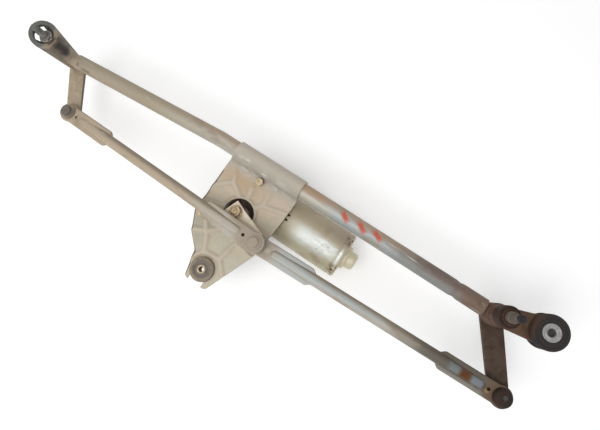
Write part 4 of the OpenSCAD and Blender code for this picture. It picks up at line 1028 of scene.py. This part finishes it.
def build_motor():
    low, high = (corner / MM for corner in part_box("motor_can"))
    start = Vector((low.x * MM, MOTOR.y, MOTOR.z))
    radius, can_len, end = (high.z - low.z) / 2, 93.0, high.x - low.x
    # Half section of the can: distance from its axis and its open end, and the radius of a rounded corner
    groove = [(radius, can_len - 9), (radius - 1.2, can_len - 7.2, 0.8), (radius, can_len - 5.6, 0.6)]
    can = rounded([
        (radius - 1.8, 0), (radius, 0, 0.4), *groove, (radius, can_len, 3.5), (15.4, can_len, 1.0),
        (15, can_len + 5, 2.2), (11, can_len + 5, 0.8), (11, end, 4.5), (0, end), (0, end - 3), (8, end - 3),
        (8, can_len - 2), (radius - 4, can_len - 2), (radius - 1.8, can_len - 4)])
    # Windows beside the crimped tabs, two by two: half width, length, place along the can and half pitch in
    # degrees, and how far their cutter reaches inside and outside the can
    half, deep, window_at, half_pitch = 1.2, 4.5, 8.0, 6.4
    inside, outside = -3.0, 2.0
    outline = rounded([(-half, 0, 0.3), (half, 0, 0.3), (half, deep, 0.3), (-half, deep, 0.3)])
    walls = [np.concatenate([np.full((len(outline), 1), out), outline], 1) for out in (inside, outside)]
    cutter = loft([wall * MM for wall in walls])
    turns = [math.radians(side + step) for side in (90, 180, 270) for step in (-half_pitch, half_pitch)]
    windows = copies(cutter, on_circle(radius, turns, window_at), "can", centre=start, axis=(1, 0, 0))
    can = cut(lathe(can, start, (1, 0, 0), steps=112), windows)
    piece("motor_can_finished", can, "can", "motor_can")
    housing = cast_copy("gearbox_housing", voxel=0.8, passes=4)
    piece("gearbox_housing_finished", housing, "alloy", "gearbox_housing", crease=60)
    # Ribs that stand round the cover like the rays of a star: number, circle, stretch and height of the foot
    rib_count, rib_circle, rib_stretch, rib_lift = 12, 20.5, 3.2, 2.2
    rib = lathe(rounded([(0, 0), (1.6, 0, 0.2), (1.6, 1.0, 0.7), (0, 1.0)]), (0, 0, 0), steps=24)
    rib.transform(Matrix.Diagonal((rib_stretch, 1.0, 1.0, 1.0)))
    rib_base = (SHAFT.x, SHAFT.y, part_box("gearbox_cover")[0].z + rib_lift * MM)
    turns = [2 * math.pi * k / rib_count for k in range(rib_count)]
    ribs = copies(rib, on_circle(rib_circle, turns), "alloy", centre=rib_base, axis=(0, 0, -1))
    cover = modified(merged_copy("gearbox_cover"), eased(0.5))
    piece("gearbox_cover_finished", joined(cover, ribs), "alloy", "gearbox_cover")
    eased_piece("cover_screws", "bright_zinc", width=0.5)
    washer = lathe(rounded([(0, 0), (5.2, 0, 0.2), (5.2, 1.0, 0.4), (0, 1.0)]), (0, 0, 0), steps=48)
    shank = lathe([(0, -20), (2.5, -20), (2.5, 0.5), (0, 0.5)], (0, 0, 0), steps=24)
    screw = joined(washer, loft(hexagon(across_corners=9.8, low=0.9, high=6.0, chamfer=0.7)), shank)
    seat = (SHAFT.x, SHAFT.y, PLATE_TOP * MM)
    screws = copies(screw, on_circle(SCREW_CIRCLE, SCREW_TURNS), "yellow_zinc", centre=seat)
    piece("motor_screws_finished", screws, "yellow_zinc", "motor_screws")
    eased_piece("connector_shell", "black_plastic", width=0.5)
    plain("yellow_zinc", "connector_blades")
    plain("bronze", "output_bush", "worm_end_bush", "middle_bearing", "rear_bearing")
    plain("ferrite", "field_magnets", "carbon_brushes")
    plain("black_plastic", "brush_holder")
    plain("steel", "armature_shaft", "worm")
    plain("lamination", "armature_core")
    plain("copper", "armature_windings", "commutator")
    plain("cream_plastic", "worm_wheel")


# Crank, levers and spindles

def threaded(profile, thread_from, pitch, centre, steps=48):
    """A turned pin whose last cylinder carries a thread from a height on. Profile in millimetres, upwards."""
    angles, around = circle(steps)
    tip_r, tip = profile[-1]
    thread_r = profile[-2][0]
    depth, row, tip_len, tip_ease = 0.55 * pitch, 0.12 * pitch, 1.0, 0.3
    rows = [(np.full(steps, radius), height) for radius, height in profile if height <= thread_from]
    for height in np.arange(thread_from + row, tip, row):
        wave = np.abs(2 * ((height / pitch - angles / (2 * math.pi)) % 1) - 1)
        # Clipped at both ends, so that crests and roots are flat
        groove = np.clip(1.25 * wave - 0.1, 0, 1)
        start = smooth((height - thread_from) / pitch)
        taper = max(0.0, height - tip + tip_len) * (thread_r - tip_r)
        rows.append((thread_r - depth * start * groove - taper, height))
    rows.append((np.full(steps, tip_r - tip_ease), tip))
    rings = [(around * radius[:, None] + [0, 0, height]) * MM for radius, height in rows]
    return loft([ring + np.array(centre) for ring in rings])


def build_crank(sizes):
    pitch, place, bore_r = sizes.thread_pitch / MM, np.array((SHAFT.x, SHAFT.y, 0)), 4.05
    eased_piece("crank_arm", "crank", width=0.6)
    low, high = heights("output_shaft")
    crank_top = heights("crank_arm")[1]
    thread_from = crank_top + 0.2
    # Radius and height, from the foot up to the tip
    shaft = [(4.4, low), (5, low + 0.6), (5, crank_top - 0.6), (4, crank_top), (4, thread_from), (3.2, high)]
    piece("output_shaft_finished", threaded(shaft, thread_from, pitch, place), "yellow_zinc", "output_shaft")
    low, high = heights("crank_lock_washer")
    washer = rounded([(bore_r, low), (8.5, low, 0.2), (8.5, high, 0.4), (bore_r, high, 0.2)])
    piece("crank_lock_washer_finished", lathe(washer, place), "yellow_zinc", "crank_lock_washer")
    low, high = heights("crank_nut")
    outside = hexagon(across_corners=15, low=low, high=high, chamfer=0.9)
    around = circle(len(outside[0]))[1]
    levels = [(4.6, high), (bore_r, high - 0.6), (bore_r, low)]
    bore = [(around * radius + [0, 0, height]) * MM for radius, height in levels]
    nut = loft([ring + place for ring in outside + bore], loop=True)
    piece("crank_nut_finished", nut, "yellow_zinc", "crank_nut")
    eased_piece("crank_ball_pin", "steel", width=0.3)


def build_levers(sizes):
    for side in ("left", "right"):
        eased_piece(side + "_lever", side + "_lever", width=0.8)
    # Each side's height of the spindle's shoulder, and the finish that its washer and circlip share
    for side, shoulder, cast in (("left", 67.0, "casting"), ("right", 68.5, "dark_casting")):
        low, high = heights(side + "_spindle")
        place = JOINT[side + "_spindle_swing"].copy()
        place.z = 0
        thread_from = shoulder + 1.2
        # Radius and height, from the flange up to the tip
        profile = [(6.9, low), (7.5, low + 0.5), (7.5, low + 1.45), (6, low + 1.5), (6, shoulder - 1),
                   (5, shoulder), (4, shoulder + 0.05), (4, thread_from), (3, high)]
        spindle = threaded(profile, thread_from, sizes.thread_pitch / MM, place)
        piece(side + "_spindle_finished", spindle, "spindle", side + "_spindle")
        eased_piece(side + "_ball_stud", "steel", width=0.3)
        plain(cast, side + "_washer", side + "_circlip")
        plain("bronze", side + "_spindle_bushes")


# Link rods

def link_mesh(start, end, rises, dimples, sizes):
    """A tube flattened into a strap at both ends. A bead runs out of the tube along each strap, as high above
    it as rises says, holes take the sockets and cups, and a dimple beside each is punched to the height in
    dimples. Gives the mesh and the way up from it."""
    run = end - start
    span = run.length / MM
    ahead = run.normalized()
    side = Vector(UP).cross(ahead).normalized()
    axes = np.array([ahead, side, ahead.cross(side)])
    round_r, flat_h = sizes.link_diameter / MM / 2, sizes.link_flat / MM / 2
    # The strap: half width, radius of its eye, how far the eye reaches, its blunt tip, length, shoulder, and
    # the squareness of its section
    flat_w, eye_r, eye_len, tip, flat_len, shoulder, squareness = 11.0, 12.5, 7.0, 0.03, 79.0, 7.5, 7
    # The bead: half width, where it starts, length of its nose, where its top and its underside begin to grow
    # into the tube, and the least depth of that underside
    bead_r, bead_from, bead_nose, core_from, low_from, least_low = 5.6, 20.0, 5.0, 40.0, 58.0, 0.2
    # Radii of the holes for socket, cup and dimple, distance of the dimple, and reach of the cutters
    socket_r, cup_r, dimple_r, dimple_at, through = 7.55, 10.55, 2.1, 16.0, 9.0
    # Points round half an eye, along the plain tube, across the strap's edge and across the bead
    eye_steps, tube_steps, edge_steps, bow_steps = 14, 40, 9, 27
    quarter = math.pi / 2
    eye = -eye_r + tip + (eye_r - tip) * (1 - np.cos(np.linspace(0, quarter, eye_steps)))
    # Stations along one end, closest at the shoulder
    strap_end = np.concatenate([eye, np.arange(1, 70, 1.0), np.arange(70, 80, 0.5), np.arange(80, 90, 2.0)])
    between = np.linspace(strap_end[-1], span - strap_end[-1], tube_steps)[1:-1]
    edge = np.sin(np.linspace(0, quarter, edge_steps))[1:]
    bow = np.sin(np.linspace(-quarter, quarter, bow_steps))
    rings = []
    for x in np.concatenate([strap_end, between, span - strap_end[::-1]]):
        away, rise = (x, rises[0]) if x < span / 2 else (span - x, rises[1])
        strap = 1 - smooth((away - flat_len + shoulder) / shoulder)
        width = round_r + (flat_w - round_r) * strap
        if away < eye_len:
            eye_w = math.sqrt(max(eye_r ** 2 - away ** 2, 0.01))
            width = eye_w if away < 0 else max(width, eye_w)
        core = smooth((away - core_from) / (flat_len - core_from))
        core_w = bead_r + (round_r - bead_r) * core
        core_top = flat_h + rise + (round_r - flat_h - rise) * core
        core_low = (round_r - least_low) * smooth((away - low_from) / (flat_len - low_from)) + least_low
        nose = math.sqrt(smooth((away - bead_from) / bead_nose))
        # Points lie closest along the sides of the bead and along the strap's edges
        inner = min(1.03 * core_w, 0.93 * width)
        flank = inner + (width - inner) * edge
        across = np.concatenate([-flank[::-1], inner * bow, flank])
        share = np.abs(across)
        sheet = (1 - np.clip(share / width, 0, 1) ** squareness) ** (1 / squareness)
        sheet = flat_h * min(1, 3 * strap) * sheet
        # The bead is squarer on the strap, and round where it has grown into the tube
        power = 3 - core
        bead = (1 - np.clip(share / max(core_w * nose, 1e-6), 0, 1) ** power) ** (1 / power)
        bead = (flat_h + (core_top - flat_h) * nose) * bead
        under = core_low * np.sqrt(1 - np.clip(share / core_w, 0, 1) ** 2)
        upper, lower = np.maximum(sheet, bead), np.maximum(sheet, under)[1:-1][::-1]
        outline = np.concatenate([np.stack([across, upper], 1), np.stack([across[1:-1][::-1], -lower], 1)])
        local = np.concatenate([np.full((len(outline), 1), x), outline], 1)
        rings.append(np.array(start) + local @ axes * MM)
    cutters = []
    for place, radius, low in ((0, socket_r, -through), (dimple_at, dimple_r, dimples[0]),
                               (span, cup_r, -through), (span - dimple_at, dimple_r, dimples[1])):
        punch = [(0, low), (radius, low), (radius, through), (0, through)]
        cutters.append(lathe(punch, start + ahead * (place * MM), axes[2]))
    return cut(loft(rings), joined(*cutters)), axes[2]


def build_links(sizes):
    left, right = JOINT["left_link_swing"], JOINT["right_link_swing"]
    # How high each bead stands, and how far down from the strap's middle each dimple goes
    rise, faint = sizes.bead_rise / MM, 0.7
    deep, half_deep, shallow = -1.5, 0.8, 2.0
    mesh, left_up = link_mesh(left, LEFT_BALL, (rise, faint), (deep, half_deep), sizes)
    piece("left_link_finished", mesh, "links", "left_link_rod", crease=40)
    mesh, right_up = link_mesh(right, RIGHT_BALL, (rise, rise), (shallow, deep), sizes)
    piece("right_link_finished", mesh, "links", "right_link_rod", crease=40)
    # Half sections about the ball's centre: radius and height, and the radius of each corner that is rounded
    stepped = rounded([
        (9.3, -4.3), (10.5, -4.3, 0.3), (10.5, 5.8, 1.0), (7.2, 5.8, 0.5), (6.9, 9.0, 1.0), (3.4, 9.0, 0.4),
        (3.0, 8.6, 0.4), (0, 8.6), (0, 7.8), (5.7, 7.8), (5.7, 4.6), (9.3, 4.6)])
    piece("left_cup_finished", lathe(stepped, LEFT_BALL, left_up), "left_cup", "left_ball_cup")
    domed = rounded([
        (9.3, -4.3), (10.5, -4.3, 0.3), (10.5, 7.0, 3.0), (8.6, 9.8, 3.0), (4, 11.0, 6), (0, 11.0), (0, 9.4),
        (6.5, 9.0), (9.3, 6.2)])
    piece("right_cup_finished", lathe(domed, RIGHT_BALL, right_up), "right_cup", "right_ball_cup")
    # Each socket is hollow round its ball, down to its lower rim
    hollow_r, rim = 5.3, -3.4
    angles = np.radians(np.linspace(89.9, -41, 14))[::-1]
    ball = [(hollow_r * math.cos(a), hollow_r * math.sin(a)) for a in angles]
    hollow = [point for point in ball if point[1] > rim] + [(0, hollow_r)]
    for side, place, up, top in (("left", left, left_up, 6.3), ("right", right, right_up, 3.5)):
        cap = rounded([(0, top), (5.6, top, 0.8), (7.2, 3.6, 0.5), (9, 3.4, 0.4), (9, 2.55), (7.5, 2.55),
                       (7.5, -3.5, 0.3), (4.1, -3.5, 0.2)])
        socket = lathe(np.concatenate([cap, hollow]), place, up)
        piece(side + "_socket_finished", socket, "links", side + "_crank_socket")


# Stage

def seen_rays(tree):
    """1 for rays of the camera, and for those that gloss or glass sends on to the backdrop."""
    path = node(tree, "ShaderNodeLightPath").outputs
    seen = path["Is Camera Ray"]
    for other in ("Is Glossy Ray", "Is Transmission Ray"):
        seen = node(tree, "ShaderNodeMath", {"operation": "MAXIMUM"}, {0: seen, 1: path[other]})
    return seen


def build_stage():
    # The world's light on the object, what shows of it behind the object, and the floor's own faint glow
    light_level, backdrop_level, floor_glow = 0.58, 1.0, 0.2
    floor_half, floor_gap = 4.0, 0.5
    aim = Vector((0.02, 0.1, 0.0))
    scene = bpy.context.scene
    scene.view_settings.view_transform = "Standard"
    world = bpy.data.worlds.new("Studio")
    scene.world = world
    world.use_nodes = True
    tree = world.node_tree
    tree.nodes.clear()
    level = node(tree, "ShaderNodeMapRange", {}, {0: seen_rays(tree), 3: light_level, 4: backdrop_level})
    sky = node(tree, "ShaderNodeBackground", {}, {"Color": (1, 1, 1, 1), "Strength": level})
    node(tree, "ShaderNodeOutputWorld", {}, {"Surface": sky})
    # White paper: a matt pale sheet that shows a little lighter than it is, so that only soft shadow is seen.
    material = bpy.data.materials.new("White paper backdrop")
    material.use_nodes = True
    tree = material.node_tree
    tree.nodes.clear()
    paper = node(tree, "ShaderNodeBsdfPrincipled", {}, {"Base Color": linear("#f6f6f6"), "Roughness": 0.9})
    lift = node(tree, "ShaderNodeMath", {"operation": "MULTIPLY"}, {0: seen_rays(tree), 1: floor_glow})
    glow = node(tree, "ShaderNodeEmission", {}, {"Color": (1, 1, 1, 1), "Strength": lift})
    both = node(tree, "ShaderNodeAddShader", {}, {0: paper, 1: glow})
    node(tree, "ShaderNodeOutputMaterial", {}, {"Surface": both})
    level = CAD_BOX[0][2] - floor_gap * MM
    square = [(x * floor_half, y * floor_half, level) for x, y in ((-1, -1), (1, -1), (1, 1), (-1, 1))]
    floor_mesh = mesh_of(square, [(0, 1, 2, 3)])
    floor_mesh.materials.append(material)
    floor = bpy.data.objects.new("floor", floor_mesh)
    scene.collection.objects.link(floor)
    # Soft lamps: place, size and power
    lamps = {"key": ((0.0, -0.5, 1.35), 1.0, 10.0), "fill": ((-0.9, -0.9, 0.9), 1.2, 4.0)}
    for name, (place, size, power) in lamps.items():
        lamp = bpy.data.lights.new(name, "AREA")
        lamp.size, lamp.energy = size, power
        holder = bpy.data.objects.new(name, lamp)
        holder.location = place
        holder.rotation_euler = (aim - Vector(place)).to_track_quat("-Z", "Y").to_euler()
        scene.collection.objects.link(holder)
    # The camera that was fitted to the photograph
    camera = bpy.data.cameras.new("camera")
    camera.lens, camera.sensor_width, camera.clip_start = 25.8, 36.0, 0.01
    view = bpy.data.objects.new("camera", camera)
    view.location = (0.15317, 0.07648, 0.52025)
    view.rotation_euler = [math.radians(a) for a in (9.6351, 5.6306, 34.0307)]
    scene.collection.objects.link(view)
    scene.camera = view


# Operators

class WIPER_OT_tube(bpy.types.Operator):
    """Builds the bent frame tube with its dents and groove"""
    bl_idname = "wiper.tube"
    bl_label = "Frame tube"
    bl_options = {"REGISTER", "UNDO"}

    def execute(self, context):
        build_tube(context.scene.wiper_sizes)
        return {"FINISHED"}


class WIPER_OT_bracket(bpy.types.Operator):
    """Builds the stamped motor bracket with its net of ridges"""
    bl_idname = "wiper.bracket"
    bl_label = "Motor bracket"
    bl_options = {"REGISTER", "UNDO"}

    def execute(self, context):
        build_bracket(context.scene.wiper_sizes)
        return {"FINISHED"}


class WIPER_OT_housings(bpy.types.Operator):
    """Builds the two cast pivot housings"""
    bl_idname = "wiper.housings"
    bl_label = "Pivot housings"
    bl_options = {"REGISTER", "UNDO"}

    def execute(self, context):
        build_housings(context.scene.wiper_sizes)
        return {"FINISHED"}


class WIPER_OT_mounts(bpy.types.Operator):
    """Builds the rubber mounts and their sleeves"""
    bl_idname = "wiper.mounts"
    bl_label = "Elastic mounts"
    bl_options = {"REGISTER", "UNDO"}

    def execute(self, context):
        build_mounts()
        return {"FINISHED"}


class WIPER_OT_motor(bpy.types.Operator):
    """Builds the motor, its gearbox and its screws, and dresses what is inside"""
    bl_idname = "wiper.motor"
    bl_label = "Motor and gearbox"
    bl_options = {"REGISTER", "UNDO"}

    def execute(self, context):
        build_motor()
        return {"FINISHED"}


class WIPER_OT_crank(bpy.types.Operator):
    """Builds the crank with its shaft, washer and nut"""
    bl_idname = "wiper.crank"
    bl_label = "Crank"
    bl_options = {"REGISTER", "UNDO"}

    def execute(self, context):
        build_crank(context.scene.wiper_sizes)
        return {"FINISHED"}


class WIPER_OT_levers(bpy.types.Operator):
    """Builds the levers, spindles and ball studs"""
    bl_idname = "wiper.levers"
    bl_label = "Levers and spindles"
    bl_options = {"REGISTER", "UNDO"}

    def execute(self, context):
        build_levers(context.scene.wiper_sizes)
        return {"FINISHED"}


class WIPER_OT_links(bpy.types.Operator):
    """Builds the link rods with their cups and sockets"""
    bl_idname = "wiper.links"
    bl_label = "Link rods"
    bl_options = {"REGISTER", "UNDO"}

    def execute(self, context):
        build_links(context.scene.wiper_sizes)
        return {"FINISHED"}


class WIPER_OT_stage(bpy.types.Operator):
    """Builds the floor, the light and the camera"""
    bl_idname = "wiper.stage"
    bl_label = "Stage"
    bl_options = {"REGISTER", "UNDO"}

    def execute(self, context):
        build_stage()
        return {"FINISHED"}


OPERATORS = (WIPER_OT_stage, WIPER_OT_tube, WIPER_OT_bracket, WIPER_OT_housings, WIPER_OT_mounts,
             WIPER_OT_motor, WIPER_OT_crank, WIPER_OT_levers, WIPER_OT_links)


class WIPER_PT_panel(bpy.types.Panel):
    """Lists the settings and the steps that build the linkage"""
    bl_idname = "WIPER_PT_panel"
    bl_label = "Wiper linkage"
    bl_space_type = "VIEW_3D"
    bl_region_type = "UI"
    bl_category = "Wiper"

    def draw(self, context):
        for settings in (context.scene.wiper_sizes, context.scene.wiper_colours):
            for name in settings.__annotations__:
                self.layout.prop(settings, name)
        for operator in OPERATORS:
            self.layout.operator(operator.bl_idname)


CLASSES = (WiperSizes, WiperColours) + OPERATORS + (WIPER_PT_panel,)


def register():
    for kind in CLASSES:
        bpy.utils.register_class(kind)
    bpy.types.Scene.wiper_sizes = bpy.props.PointerProperty(type=WiperSizes)
    bpy.types.Scene.wiper_colours = bpy.props.PointerProperty(type=WiperColours)


def unregister():
    del bpy.types.Scene.wiper_colours
    del bpy.types.Scene.wiper_sizes
    for kind in reversed(CLASSES):
        bpy.utils.unregister_class(kind)


def main():
    register()
    bpy.ops.wiper.stage()
    bpy.ops.wiper.tube()
    bpy.ops.wiper.bracket()
    bpy.ops.wiper.housings()
    bpy.ops.wiper.mounts()
    bpy.ops.wiper.motor()
    bpy.ops.wiper.crank()
    bpy.ops.wiper.levers()
    bpy.ops.wiper.links()


if __name__ == "__main__":
    main()
